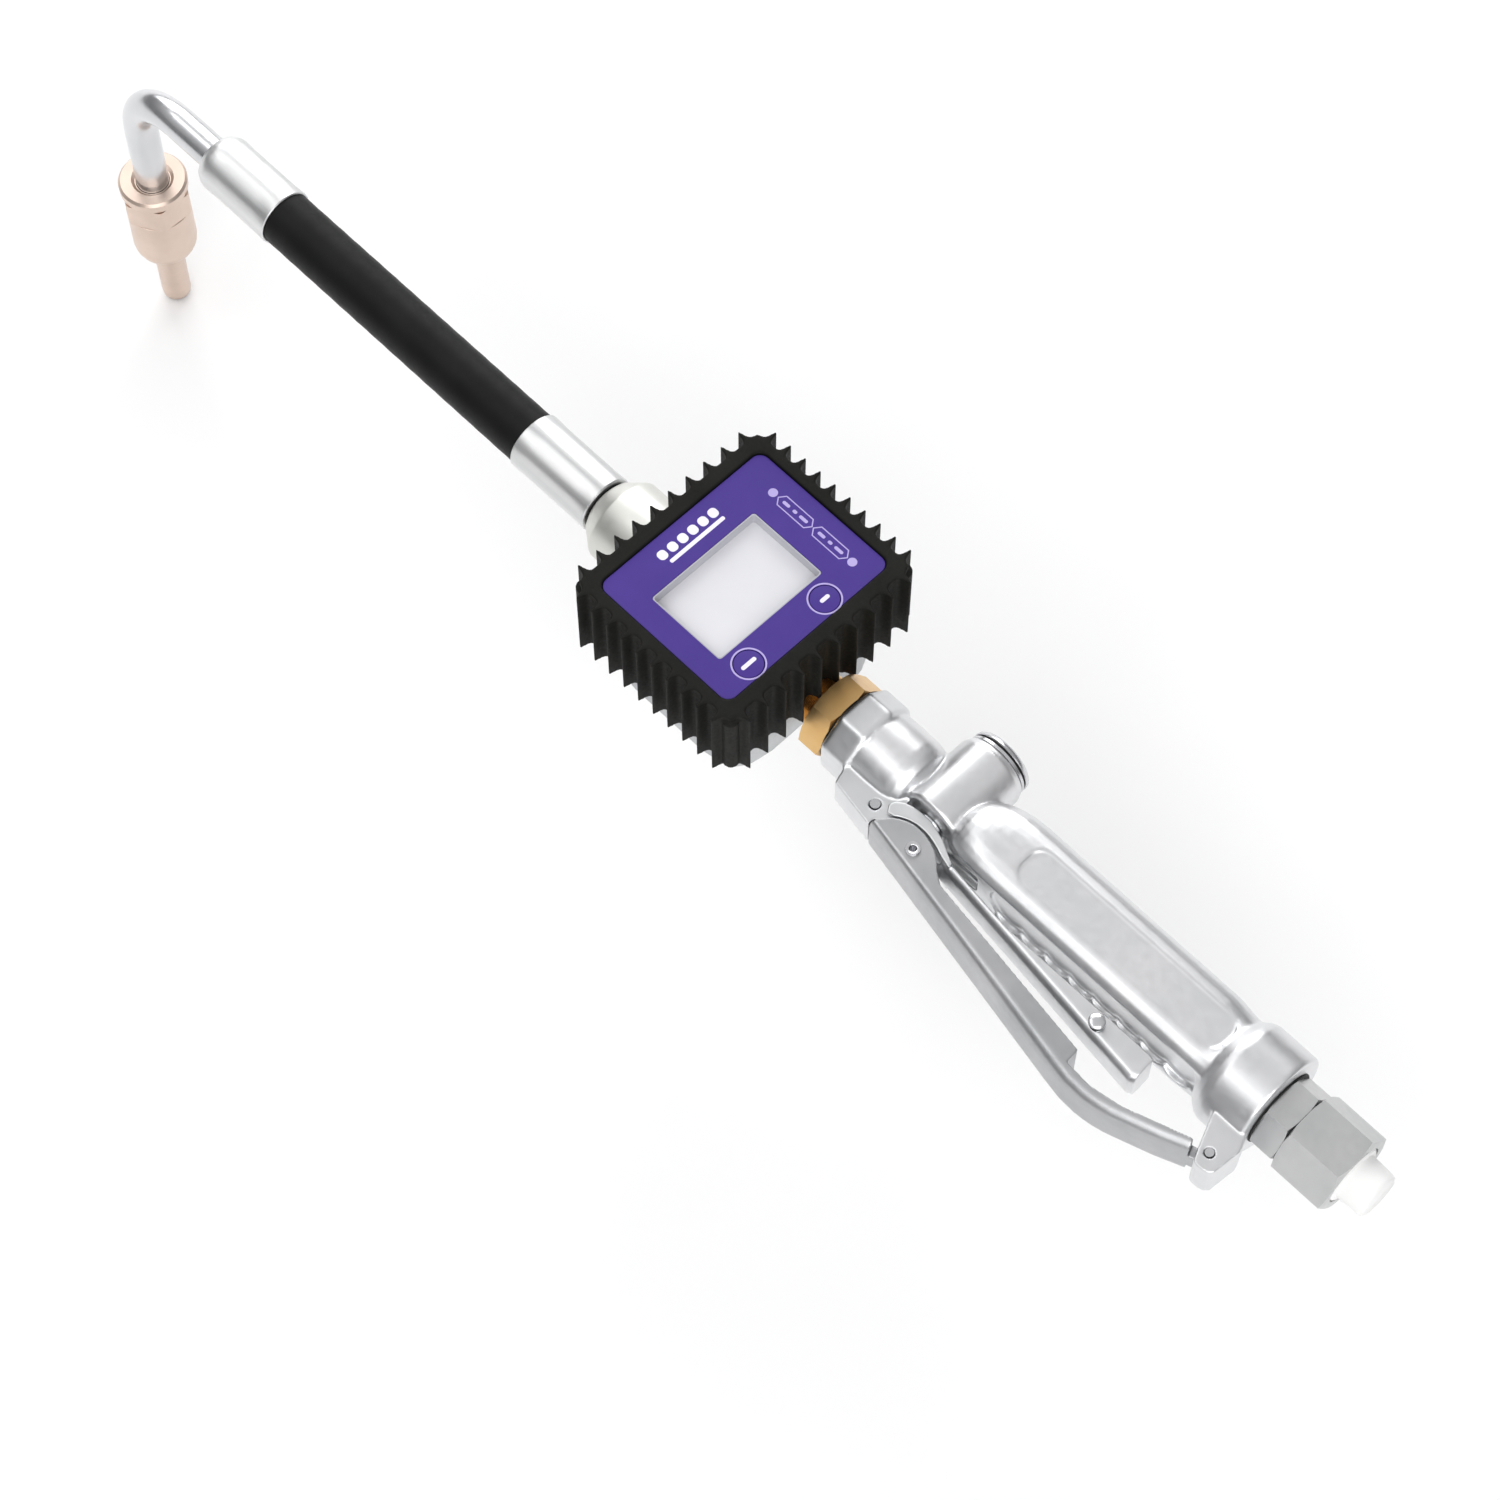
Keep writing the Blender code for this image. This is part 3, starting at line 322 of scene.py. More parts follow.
def settle(thing):
    """Turns an object's modifiers into plain mesh."""
    graph = bpy.context.evaluated_depsgraph_get()
    mesh = bpy.data.meshes.new_from_object(thing.evaluated_get(graph))
    thing.modifiers.clear()
    thing.data = mesh
    return thing


def soften(thing, width, segments=2, angle=28):
    """Rounds the sharp edges of a machined piece and keeps its flats flat."""
    thing.data.shade_smooth()
    step = thing.modifiers.new("soften", "BEVEL")
    step.width = width * MM
    step.segments = segments
    step.limit_method = "ANGLE"
    step.angle_limit = math.radians(angle)
    step.miter_outer = "MITER_ARC"
    step.harden_normals = True
    return settle(thing)


def round_edges(thing, radius, chosen):
    """Rounds the level edges whose middle, in millimetres, the test picks."""
    bm = bmesh.new()
    bm.from_mesh(thing.data)
    edges = []
    for edge in bm.edges:
        first, second = (point.co / MM for point in edge.verts)
        middle = (first + second) / 2
        if abs(first.z - second.z) < 0.01 and chosen(middle.x, middle.y):
            edges.append(edge)
    bmesh.ops.bevel(bm, geom=edges, offset=radius * MM, segments=6, profile=0.5, affect="EDGES")
    bm.to_mesh(thing.data)
    bm.free()


def cast(thing, grain, passes):
    """Gives a piece the small even fillets of a casting or a moulding."""
    skin = thing.modifiers.new("skin", "REMESH")
    skin.mode = "VOXEL"
    skin.voxel_size = grain * MM
    blur = thing.modifiers.new("blur", "SMOOTH")
    blur.factor = 0.5
    blur.iterations = passes
    settle(thing)
    thing.data.shade_smooth()
    return thing


def finish(thing, material, body, *nodes, sharp=40):
    """Puts the material on a piece, ties it to a body and says which CAD nodes it stands for."""
    thing.data.materials.clear()
    thing.data.materials.append(MATERIALS[material])
    if sharp:
        thing.data.shade_smooth()
        thing.data.set_sharp_from_angle(angle=math.radians(sharp))
    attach(thing, body)
    if nodes:
        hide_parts(*nodes)
    return thing


# ---- flexible spout -----------------------------------------------------------------------
def make_hose():
    front = HOSE_FRONT_X - HOSE_HELD
    rear = HOSE_REAR_X + HOSE_HELD
    profile = [(front, HOSE_BORE_R), (front, HOSE_R)]
    steps = 60
    for k in range(1, steps):
        profile.append((front + (rear - front) * k / steps, HOSE_R + 0.05 * math.sin(k * 1.9)))
    profile += [(rear, HOSE_R), (rear, HOSE_BORE_R)]
    finish(turned("hose_skin", profile, "X", BORE), "hose_rubber", "gun", "hose")


def crimped_sleeve(name, base, axis, profile, start, end):
    """A ferrule whose crimped length is pressed into shallow flats."""
    sleeve = turned(name, profile, axis, base, 160)
    centre = Vector(base) * MM
    along = AXES[axis]
    flats = 8
    for point in sleeve.data.vertices:
        offset = point.co - centre
        travel = offset.dot(along)
        across = offset - along * travel
        radius = across.length / MM
        pressed = start < travel / MM < end and radius > FERRULE_R - 0.5
        if pressed:
            angle = math.atan2(across.z, across.y) * flats
            share = min(1.0, (travel / MM - start) / 2.5, (end - travel / MM) / 2.5)
            across *= 1 - share * 0.018 * (0.5 - 0.5 * math.cos(angle))
            point.co = centre + along * travel + across
    return sleeve


def sleeve_wall(start, end, count=14):
    return [(start + (end - start) * k / count, FERRULE_R) for k in range(count + 1)]


def make_ferrules():
    lip = [(0.0, FERRULE_BORE_R), (0.0, FERRULE_R - 0.35), (0.35, FERRULE_R)]
    nose = [(FERRULE_LENGTH - 3.0, FERRULE_R - 0.3), (FERRULE_LENGTH - 0.8, 9.9), (FERRULE_LENGTH, 9.0)]
    body = sleeve_wall(1.2, FERRULE_LENGTH - 4.4)
    front = lip + body + nose
    front += [(FERRULE_LENGTH, TUBE_R + 0.1), (FERRULE_WALL, TUBE_R + 0.1), (FERRULE_WALL, FERRULE_BORE_R)]
    mouth = (HOSE_FRONT_X, 0, AXIS_Z)
    thing = crimped_sleeve("front_ferrule_skin", mouth, "-X", front, 3.0, FERRULE_LENGTH - 6)
    finish(thing, "ferrule_zinc", "gun", "front_ferrule", sharp=30)
    tail = [(FERRULE_LENGTH - 1.0, FERRULE_R), (FERRULE_LENGTH - 0.5, 10.9), (FERRULE_LENGTH - 0.4, 8.15)]
    rear = lip + sleeve_wall(1.2, FERRULE_LENGTH - 1.6) + tail
    rear += [(FERRULE_WALL, 8.15), (FERRULE_WALL, FERRULE_BORE_R)]
    thing = crimped_sleeve("rear_ferrule_skin", (HOSE_REAR_X, 0, AXIS_Z), "X", rear, 3.0, FERRULE_LENGTH - 3)
    finish(thing, "ferrule_zinc", "gun", "rear_ferrule", sharp=30)


def make_adapter():
    profile = [
        (21.6, 6.5), (21.6, 9.9), (33.4, 9.9), (33.4, 16.3), (60.3, 16.3), (61.2, 15.9), (66.4, 11.9),
        (67.2, 11.3), (67.6, 9.9), (68.2, 9.9), (68.2, 8.35), (47.0, 8.35), (47.0, 6.5),
    ]
    finish(soften(turned("adapter_skin", profile, "-X", BORE), 0.3), "turned_steel", "gun",
           "outlet_adapter", sharp=0)


def spout_path():
    """Centre points and headings of the bent tube in the XZ plane."""
    bend_x = SPOUT_X + SPOUT_BEND_R
    path = [((HOSE_FRONT_X - 2.0, AXIS_Z), math.pi), ((bend_x, AXIS_Z), math.pi)]
    steps = 36
    for k in range(1, steps + 1):
        turn = math.pi / 2 * k / steps
        x = bend_x - SPOUT_BEND_R * math.sin(turn)
        z = AXIS_Z - SPOUT_BEND_R + SPOUT_BEND_R * math.cos(turn)
        path.append(((x, z), math.pi + turn))
    path.append(((SPOUT_X, NOZZLE_TOP - 11), 1.5 * math.pi))
    return path


def make_spout():
    bm = bmesh.new()
    rings = []
    for (x, z), heading in spout_path():
        across = Vector((-math.sin(heading), 0, math.cos(heading)))
        ring = []
        for k in range(MIDDLE):
            angle = 2 * math.pi * k / MIDDLE
            offset = across * math.cos(angle) + Vector((0, 1, 0)) * math.sin(angle)
            ring.append(bm.verts.new(Vector((x, 0, z)) + TUBE_R * offset))
        rings.append(ring)
    for first, second in zip(rings, rings[1:]):
        for k in range(MIDDLE):
            after = (k + 1) % MIDDLE
            bm.faces.new((first[k], first[after], second[after], second[k]))
    bm.faces.new(rings[0])
    bm.faces.new(rings[-1])
    finish(as_object("spout_skin", bm), "bright_steel", "gun", "spout_tube")


def make_nozzle():
    base = (SPOUT_X, 0, 0)
    top = NOZZLE_TOP
    rim = [(top - 5.6, 0), (top - 5.6, 11.9), (top - 4.9, 11.9), (top - 4.6, 13.2), (top - 1.1, 13.3),
           (top, 12.4), (top, 8.2), (top - 1.2, 7.0), (top - 1.2, 0)]
    nut = turned("nozzle_nut_skin", rim, "Z", base)
    flats = prism("nozzle_flats", regular(6, 24.4, (SPOUT_X, 0), 30), top - 16.6, top - 5.0)
    blank = [(top - 18, 0), (top - 18, 12.0), (top - 16.2, 13.8), (top - 4, 13.8), (top - 4, 0)]
    combine(flats, "INTERSECT", [turned("nozzle_blank", blank, "Z", base)])
    join(nut, flats)
    cut(nut, rod("nozzle_nut_bore", top - 20, top + 2, TUBE_R + 0.15, "Z", base))
    finish(soften(nut, 0.25), "copper_brass", "gun", "nozzle_nut", sharp=0)
    shoulder = top - 16.9
    body = [
        (shoulder, 0), (shoulder, 11.7), (shoulder - 0.4, 12.4), (shoulder - 20.3, 12.5),
        (shoulder - 22.6, 12.2), (shoulder - 24.8, 11.3), (shoulder - 27.2, 9.3), (shoulder - 28.8, 7.2),
        (shoulder - 29.8, 6.3), (shoulder - 31.4, 5.85), (NOZZLE_TIP + 3.2, 5.7), (NOZZLE_TIP + 1.0, 5.4),
        (NOZZLE_TIP, 4.6), (NOZZLE_TIP, 3.9), (NOZZLE_TIP + 12, 3.9), (NOZZLE_TIP + 12, 0),
    ]
    finish(turned("nozzle_body_skin", body, "Z", base), "copper_brass", "gun", "nozzle_body", sharp=50)


# ---- nuts along the bore ------------------------------------------------------------------
def hex_sleeve(name, across_flats, start, end, bore_r, chamfer):
    """A bored hexagon along X with its corners turned off at both ends."""
    nut = prism(name, regular(6, across_flats, (0, AXIS_Z), HEX_TURN), start, end, "X")
    corner = across_flats / math.sqrt(3)
    flat = across_flats / 2
    blank = [(start - 0.01, flat + 0.2), (start + chamfer, corner + 0.05), (end - chamfer, corner + 0.05),
             (end + 0.01, flat + 0.2), (end + 0.01, bore_r), (start - 0.01, bore_r)]
    combine(nut, "INTERSECT", [turned(name + "_blank", blank, "X", BORE, 160)])
    return soften(nut, 0.3)


def make_nuts():
    finish(hex_sleeve("union_skin", 28.0, 41.7, 51.6, 10.0, 0.9), "brass", "gun", "union_nut",
           sharp=0)
    nipple = [(21.6, 6.5), (21.6, 9.9)]
    for k in range(12):
        place = 34.5 + 0.55 * k
        nipple += [(place, 9.9), (place + 0.275, 9.5)]
    nipple += [(41.4, 9.9), (62.4, 9.9), (62.4, 6.5)]
    finish(turned("nipple_skin", nipple, "X", BORE), "brass", "gun", "inlet_nipple", sharp=25)
    finish(hex_sleeve("gland_skin", 25.0, RING_END_X + 0.3, 256.2, 6.2, 0.7), "zinc_steel", "gun",
           "inlet_gland", sharp=0)
    nut = hex_sleeve("swivel_skin", 28.0, 256.6, 278.3, 9.6, 0.8)
    cut(nut, rod("swivel_hollow", 260.3, 285, 11.4, "X", BORE))
    finish(nut, "zinc_steel", "swivel", "swivel_nut", sharp=0)
    plug = [(266, 0), (266, 11.0), (277.9, 11.0), (278.6, 10.2), (278.7, 8.9), (287.2, 8.5), (288.4, 8.1),
            (289.0, 7.2), (289.0, 0)]
    finish(turned("plug_skin", plug, "X", BORE), "white_plastic", "plug", "inlet_plug", sharp=50)


def make_joint_shade_rings():
    """Thin dark rings in the joints between the screwed pieces: painted shade for the gaps there."""
    # each dark ring paints the shade in the gap between two pieces
    for name, start, end, radius in (
        ("union_joint_shade", 51.3, 52.2, 14.6),
        ("gland_joint_shade", 245.4, 246.3, 14.4),
        ("swivel_joint_shade", 256.0, 256.7, 12.6),
        ("ferrule_joint_shade", -69.0, -67.7, 9.6),
    ):
        edge = 0.25
        profile = [(start, 6), (start, radius - edge), (start + edge, radius), (end - edge, radius),
                   (end, radius - edge), (end, 6)]
        finish(turned(name, profile, "X", BORE), "seal", "gun")
    # a black ring across the bonnet's groove: painted shade for the groove
    ring = [(24.6, 9), (24.6, 11.7), (25.0, 12.0), (25.6, 12.0), (26.0, 11.7), (26.0, 9)]
    finish(turned("bonnet_groove_shade", ring, "Y", (VALVE_X, 0, AXIS_Z)), "seal", "gun")


# ---- handle -------------------------------------------------------------------------------
# (y, z) points round half of the grip's section, then (x, amount of that shape, circle radius)
GRIP_HALF = (
    (17.6, 0.0), (17.6, 2.8), (17.3, 5.4), (16.6, 7.9), (15.4, 10.3), (13.6, 12.5), (11.2, 14.2), (8.2, 15.2),
    (5.0, 15.6), (2.0, 15.7), (-2.0, 15.7), (-6.0, 15.3), (-9.6, 14.3), (-12.2, 12.8), (-13.5, 11.3),
    (-13.9, 10.0), (-13.3, 8.8), (-12.5, 7.8), (-12.6, 5.0), (-12.6, 0.0),
)
GRIP_STATIONS = (
    (103, 0.0, 8.5), (106, 0.10, 10.8), (109, 0.25, 12.4), (112, 0.42, 13.4), (115, 0.6, 14.0),
    (118, 0.77, 14.3), (122, 0.92, 14.5), (128, 1.0, 14.8), (213, 1.0, 15.0), (216, 0.9, 15.5),
    (219, 0.68, 16.1), (222, 0.38, 16.6), (225, 0.12, 17.0), (227, 0.0, 17.0),
)


def grip_section(amount, radius):
    """A section between the full grip shape, at amount 1, and a circle, at amount 0."""
    half = list(GRIP_HALF)
    whole = half + [(y, -z) for y, z in reversed(half[1:-1])]
    section = []
    for y, z in whole:
        angle = math.atan2(z, y)
        section.append((
            amount * y + (1 - amount) * radius * math.cos(angle),
            amount * z + (1 - amount) * radius * math.sin(angle),
        ))
    return section


def grip_mass(name):
    bm = bmesh.new()
    rings = []
    for x, amount, radius in GRIP_STATIONS:
        rings.append([bm.verts.new((x, y, AXIS_Z + z)) for y, z in grip_section(amount, radius)])
    count = len(rings[0])
    for first, second in zip(rings, rings[1:]):
        for k in range(count):
            after = (k + 1) % count
            bm.faces.new((first[k], first[after], second[after], second[k]))
    bm.faces.new(rings[0])
    bm.faces.new(rings[-1])
    return as_object(name, bm)


def guard_outer(x):
    """Y of the guard's outer face at X, along its straight part."""
    return -24.9 - 0.197 * (x - 84.5)


def handle_masses():
    neck = [(63, 0), (63, 14.6), (65, 15.3), (72, 15.4), (79, 15.2), (82, 14.6), (84.5, 13.4), (89, 7.5),
            (94, 7.5), (94, 0)]
    boss = [(-8, 0), (-8, 12.6), (-7, 13.6), (21, 13.6), (22, 12.9), (23.4, 12.9), (23.4, 0)]
    ring = [(220.5, 0), (220.5, 13.5), (224, 17.3), (226.5, 19.2), (229, 20.0), (RING_END_X - 0.8, 20.0),
            (RING_END_X, 19.4), (RING_END_X, 0)]
    front_lug = [
        (63.6, -6), (63.6, -16), (65.2, -21.6), (84.1, -24.8), (84.1, guard_outer(84.1) + 3.4),
        (107.6, guard_outer(107.6) + 3.4), (109.2, -23.6), (107.2, -18.7), (88.6, -19.3), (87.4, -6),
    ]
    rear_lug = [(231, -12), (236.8, -27), (240.4, -35.4), (242.0, -36.4), (246.6, -35.8), (248.2, -34),
                (249.2, -23), (244.5, -12)]
    return [
        soften(prism("outlet_collar", regular(8, 31.8, (0, AXIS_Z), 22.5), 52, 64.5, "X"), 1.6, 4),
        turned("neck", neck, "X", BORE),
        turned("valve_boss", boss, "Y", (VALVE_X, 0, AXIS_Z)),
        turned("rear_ring", ring, "X", BORE),
        slab("front_lug", front_lug, 6.5),
        slab("rear_lug", rear_lug, 8),
    ]


def handle_hollows():
    tools = [
        rod("outlet_socket", 50, 63, 10.25, "X", BORE),
        rod("inlet_socket", 229, 250, 11.0, "X", BORE),
        rod("bonnet_socket", 14, 30, 9.0, "Y", (VALVE_X, 0, AXIS_Z)),
        rod("gland_socket", -14, -5.5, 4.95, "Y", (VALVE_X, 0, AXIS_Z)),
        slab("lever_slot", box_outline((75.2, -22.2), (91, -11.2)), 4.4),
        slab("lever_relief", box_outline((100, -20), (123, -9.4)), 4.7),
        slab("guard_tail_slot", box_outline((225, -34.2), (246.2, -26.2)), 4.0),
        upright("trigger_pin_hole", TRIGGER_PIVOT, 2.0, 12),
        upright("guard_pin_hole", GUARD_PIN, 1.95, 12),
        upright("guard_rear_pin_hole", GUARD_REAR_PIN, 1.8, 12),
    ]
    for k in range(8):
        place = (138.0 + 10.8 * k, 0, AXIS_Z)
        tools.append(rod(f"scallop_{k}", -20, -10.8, 9.4, "Y", place))
    for side in (-1, 1):
        face = rounded_rectangle(45.0, 7.4, 5.4, 10, (177, 0.0))
        low, high = sorted((AXIS_Z + side * 14.8, AXIS_Z + side * 22))
        tools.append(prism(f"side_panel_{side + 1}", face, low, high))
    return tools


def make_handle():
    body = join(grip_mass("handle_skin"), *handle_masses())
    cut(body, *handle_hollows())
    finish(cast(body, 0.5, 9), "cast_chrome", "gun", "handle_body", sharp=0)


def make_bonnet():
    profile = [
        (14, 0), (14, 8.8), (23.6, 8.8), (23.6, 12.0), (23.8, 12.3), (24.7, 12.3), (24.9, 12.0), (24.9, 11.2),
        (25.7, 11.2), (25.7, 12.0), (26.0, 12.3), (27.0, 12.1), (27.8, 11.4), (28.2, 10.4), (28.2, 0),
    ]
    finish(turned("bonnet_skin", profile, "Y", (VALVE_X, 0, AXIS_Z)), "bright_steel", "gun", "bonnet_cap",
           sharp=35)


def lever_outer(x):
    """Y of the lever's outer face at X."""
    return -18.2 - 0.12 * (x - 111.5)


def lever_depth(x):
    """How deep the lever's channel is at X."""
    return 2.6 + 8.4 * max(0.0, min(1.0, (x - 142) / 65))


# (x, y) outline of the two arched plates that flank the valve stem
LEVER_SHOULDER = (
    (84.2, -15.2), (85.2, -12.8), (87.6, -11.1), (91.0, -10.0), (95.0, -9.7), (99.0, -9.9), (103.0, -10.9),
    (107.0, -12.4), (110.5, -14.2), (114.5, -16.0), (114.5, -17.9), (112.5, -17.4), (109.3, -16.5),
    (106.8, -15.5), (104.2, -14.7), (101.4, -14.1), (98.5, -13.9), (95.5, -14.1), (92.6, -14.9),
    (90.2, -16.1), (88.4, -17.4), (86.0, -17.8),
)


def make_trigger():
    tip_y = lever_outer(LEVER_TIP_X)
    channel = [(LEVER_START_X, lever_outer(LEVER_START_X)),
               (LEVER_TIP_X - 2.5, lever_outer(LEVER_TIP_X - 2.5)),
               (LEVER_TIP_X - 0.3, tip_y + 1.2), (LEVER_TIP_X - 1.0, tip_y + 10.6),
               (LEVER_TIP_X - 2.6, tip_y + 11.1)]
    for x in (190, 166, 142, LEVER_START_X):
        channel.append((x, lever_outer(x) + lever_depth(x)))
    lever = slab("lever_skin", channel, 7.35)
    round_edges(lever, 3.4, lambda x, y: y < lever_outer(x) + 1.0 and x < LEVER_TIP_X - 1)
    pocket = [(144, lever_outer(144) + 2.2), (LEVER_TIP_X - 3.0, lever_outer(LEVER_TIP_X - 3.0) + 2.2),
              (LEVER_TIP_X - 3.0, 0), (144, 0)]
    tongue = []
    for k in range(25):
        angle = math.radians(75 + 195 * k / 24)
        tongue.append((TRIGGER_PIVOT[0] + 4.0 * math.cos(angle), TRIGGER_PIVOT[1] + 4.0 * math.sin(angle)))
    tongue += [(83.4, -20.6), (87.6, -18.5), (96, -17.4), (104, -17.4), (118, lever_outer(118) + 0.3),
               (118, lever_outer(118) + 2.3), (112, -13.6), (104, -11.4), (90.5, -11.4), (86.2, -13.0)]
    shoulders = []
    for side in (-1, 1):
        low, high = sorted((AXIS_Z + side * 6.9, AXIS_Z + side * 8.6))
        shoulders.append(prism(f"shoulder_{side + 1}", LEVER_SHOULDER, low, high))
    join(lever, slab("lever_tongue", tongue, 4.0), *shoulders)
    cut(lever, slab("lever_pocket", pocket, 5.2), upright("lever_eye", TRIGGER_PIVOT, 2.0, 12),
        upright("lock_hole", LOCK_AT, 2.25, 12))
    finish(cast(lever, 0.32, 5), "cast_chrome", "trigger", "trigger_lever", sharp=0)
    lock = [(AXIS_Z - 8.4, 0), (AXIS_Z - 8.4, 2.05), (AXIS_Z + 9.0, 2.05), (AXIS_Z + 9.0, 2.7),
            (AXIS_Z + 9.3, 2.9), (AXIS_Z + 10.2, 2.9), (AXIS_Z + 10.7, 2.3), (AXIS_Z + 10.8, 0)]
    finish(turned("lock_skin", lock, "Z", (*LOCK_AT, 0), COARSE), "bright_steel", "lock", "lock_button")


def on_guard_front(x, y):
    """Whether a place is on the guard's outer edge, which the fingers meet."""
    if x < 188:
        return x > 86 and y < guard_outer(x) + 0.5
    return y < -41.6 or (x > 212 and y < -36)


def make_guard():
    head = [(84.5, -24.9), (85.4, -22.9), (88.4, -18.8), (90.6, -17.1), (93, -15.9), (95.7, -15.1),
            (98.5, -14.9), (101.4, -15.1), (104, -15.7), (106.6, -16.7), (109, -18.0), (113.5, -22.0),
            (117.5, -24.6)]
    inner = [(189.3, -34.8), (189.7, -40.4), (200.5, -41.0), (212.4, -38.9), (236, -30.6)]
    outer = [(237.6, -34.5), (227.5, -38.7), (214.5, -43.2), (210.8, -44.4), (207.0, -45.3),
             (203.2, -45.9), (199.5, -46.2), (192.5, -46.0), (186.0, guard_outer(186))]
    guard = slab("guard_skin", head + inner + outer, 9.5)
    round_edges(guard, 4.4, on_guard_front)
    hollow = [(60, -17), (60, guard_outer(60) + 3), (187, guard_outer(187) + 3), (187, -5), (60, -5)]
    tail = [(234, -31.2), (245.6, -27.0), (245.6, -33.2), (241, -33.4), (234, -35.9)]
    join(guard, slab("guard_tail", tail, 3.6))
    cut(guard, upright("guard_front_hole", GUARD_PIN, 1.95, 12), slab("guard_channel", hollow, 6.8),
        upright("guard_rear_hole", GUARD_REAR_PIN, 1.8, 12))
    # the guard takes the darker copy of the chrome, which paints its shade
    finish(cast(guard, 0.42, 5), "guard_chrome", "gun", "trigger_guard", sharp=0)
    pin = [(-3, 0), (-3, 1.3), (-10.3, 1.3), (-10.5, 1.6), (-10.5, 2.5), (-10.4, 2.6), (-9.6, 2.7),
           (-9.6, 1.65), (9.6, 1.65), (9.6, 2.7), (10.4, 2.6), (10.5, 2.5), (10.5, 1.6), (10.3, 1.3),
           (3, 1.3), (3, 0)]
    finish(turned("guard_pin_skin", pin, "Z", (*GUARD_PIN, AXIS_Z), COARSE), "bright_steel", "gun",
           "guard_front_pin")


# ---- meter --------------------------------------------------------------------------------
def fin_side(start, end, count, across):
    """One side of the boot's outline, with fins whose flanks are hollow."""
    points = []
    pitch = (end - start) / (count - 1)
    sense = math.copysign(1.0, pitch)
    flank = ((2.3, 0.0), (1.35, 0.7), (0.85, 2.0), (0.5, 3.6), (0.2, 4.6))
    for k in range(count):
        middle = start + pitch * k
        points += [(middle - sense * offset, across + out) for offset, out in flank]
        points += [(middle + sense * offset, across + out) for offset, out in reversed(flank)]
    return points


def boot_outline():
    hx, hy = BOOT_HALF
    reach_x = hx - 4.5
    reach_y = hy - 4.7
    outline = [(out, along) for along, out in fin_side(-reach_y, reach_y, 10, hx)]
    outline.append((hx - 0.6, hy - 0.6))
    outline += fin_side(reach_x, -reach_x, 10, hy)
    outline.append((0.6 - hx, hy - 0.6))
    outline += [(-out, along) for along, out in fin_side(reach_y, -reach_y, 10, hx)]
    outline.append((0.6 - hx, 0.6 - hy))
    outline += [(along, -out) for along, out in fin_side(-reach_x, reach_x, 10, hy)]
    outline.append((hx - 0.6, 0.6 - hy))
    return outline


def make_boot():
    boot = prism("boot_skin", boot_outline(), BOOT_LOW, BOOT_HIGH)
    corners = [(sx * (BOOT_HALF[0] - 1.7), sy * (BOOT_HALF[1] - 1.7)) for sx in (-1, 1) for sy in (-1, 1)]
    join(boot, *[rod("boot_corner", 27.5, 57.0, 3.0, "Z", (x, y, 0), COARSE) for x, y in corners])
    cut(
        boot,
        prism("boot_cavity", rounded_rectangle(33.7, 39.0, 4), 20, 57.6),
        prism("boot_opening", rounded_rectangle(31.3, 38.0, 4.0), 50, 70),
        rod("boot_outlet_notch", -45, -30, 16.9, "X", BORE),
        rod("boot_inlet_notch", 30, 45, 10.7, "X", BORE),
    )
    finish(cast(boot, 0.42, 3), "boot_rubber", "gun", "rubber_boot", sharp=0)


def window_outline(inset=0.0, radius=1.2):
    centre = [(WINDOW_LOW[k] + WINDOW_HIGH[k]) / 2 for k in range(2)]
    half = [(WINDOW_HIGH[k] - WINDOW_LOW[k]) / 2 - inset for k in range(2)]
    return rounded_rectangle(*half, radius, 6, centre)


def make_label():
    label = prism("label_skin", rounded_rectangle(31.0, 37.7, 3.8, 12), 57.7, LABEL_Z)
    tools = [prism("label_window", window_outline(), 50, 65)]
    for _, y in BUTTONS:
        tools.append(rod("button_hole", 50, 65, 5.4, "Z", (BUTTON_X, y, 0)))
    cut(label, *tools)
    finish(soften(label, 0.12), "violet_film", "gun", "label_panel", sharp=0)
    bezel = prism("bezel_skin", window_outline(0.02), 54.0, 58.75)
    cut(bezel, prism("bezel_hole", window_outline(0.5, 1.0), 50, 65))
    finish(soften(bezel, 0.1), "bezel_grey", "gun", sharp=0)
    glass = prism("display_skin", window_outline(-1.5), 52.0, 54.0)
    finish(soften(glass, 0.1), "display_glass", "gun", "display_module", sharp=0)


def make_buttons():
    profile = [(51.9, 0), (51.9, 2.2), (56.9, 2.2), (56.9, 5.2), (58.8, 5.2), (59.0, 5.0), (59.15, 3.5),
               (59.2, 0)]
    for body, y in BUTTONS:
        base = (BUTTON_X, y, 0)
        thing = turned(body + "_skin", profile, "Z", base, MIDDLE)
        finish(thing, "violet_film", body, body + "_button", sharp=30)
        long = 3.2 if body == "reset" else 2.0
        mark = rounded_rectangle(0.75, long, 0.7, 6, (BUTTON_X, y))
        finish(prism(body + "_mark", mark, 59.0, 59.27), "print_white", body)


def printed(name, outline, material="print_white", hole=None):
    """A thin printed shape on the label's face."""
    thing = prism(name, outline, LABEL_Z - 0.2, LABEL_Z + 0.05)
    if hole:
        cut(thing, prism(name + "_hole", hole, LABEL_Z - 1, LABEL_Z + 1))
    return finish(thing, material, "gun")


def ring_outline(radius, centre, steps=64):
    angles = [2 * math.pi * k / steps for k in range(steps)]
    return [(centre[0] + radius * math.cos(a), centre[1] + radius * math.sin(a)) for a in angles]


def long_hexagon(centre, half_length, half_width):
    cx, cy = centre
    point = half_width * 0.75
    return [
        (cx + half_length, cy), (cx + half_length - point, cy + half_width),
        (cx - half_length + point, cy + half_width), (cx - half_length, cy),
        (cx - half_length + point, cy - half_width), (cx + half_length - point, cy - half_width),
    ]


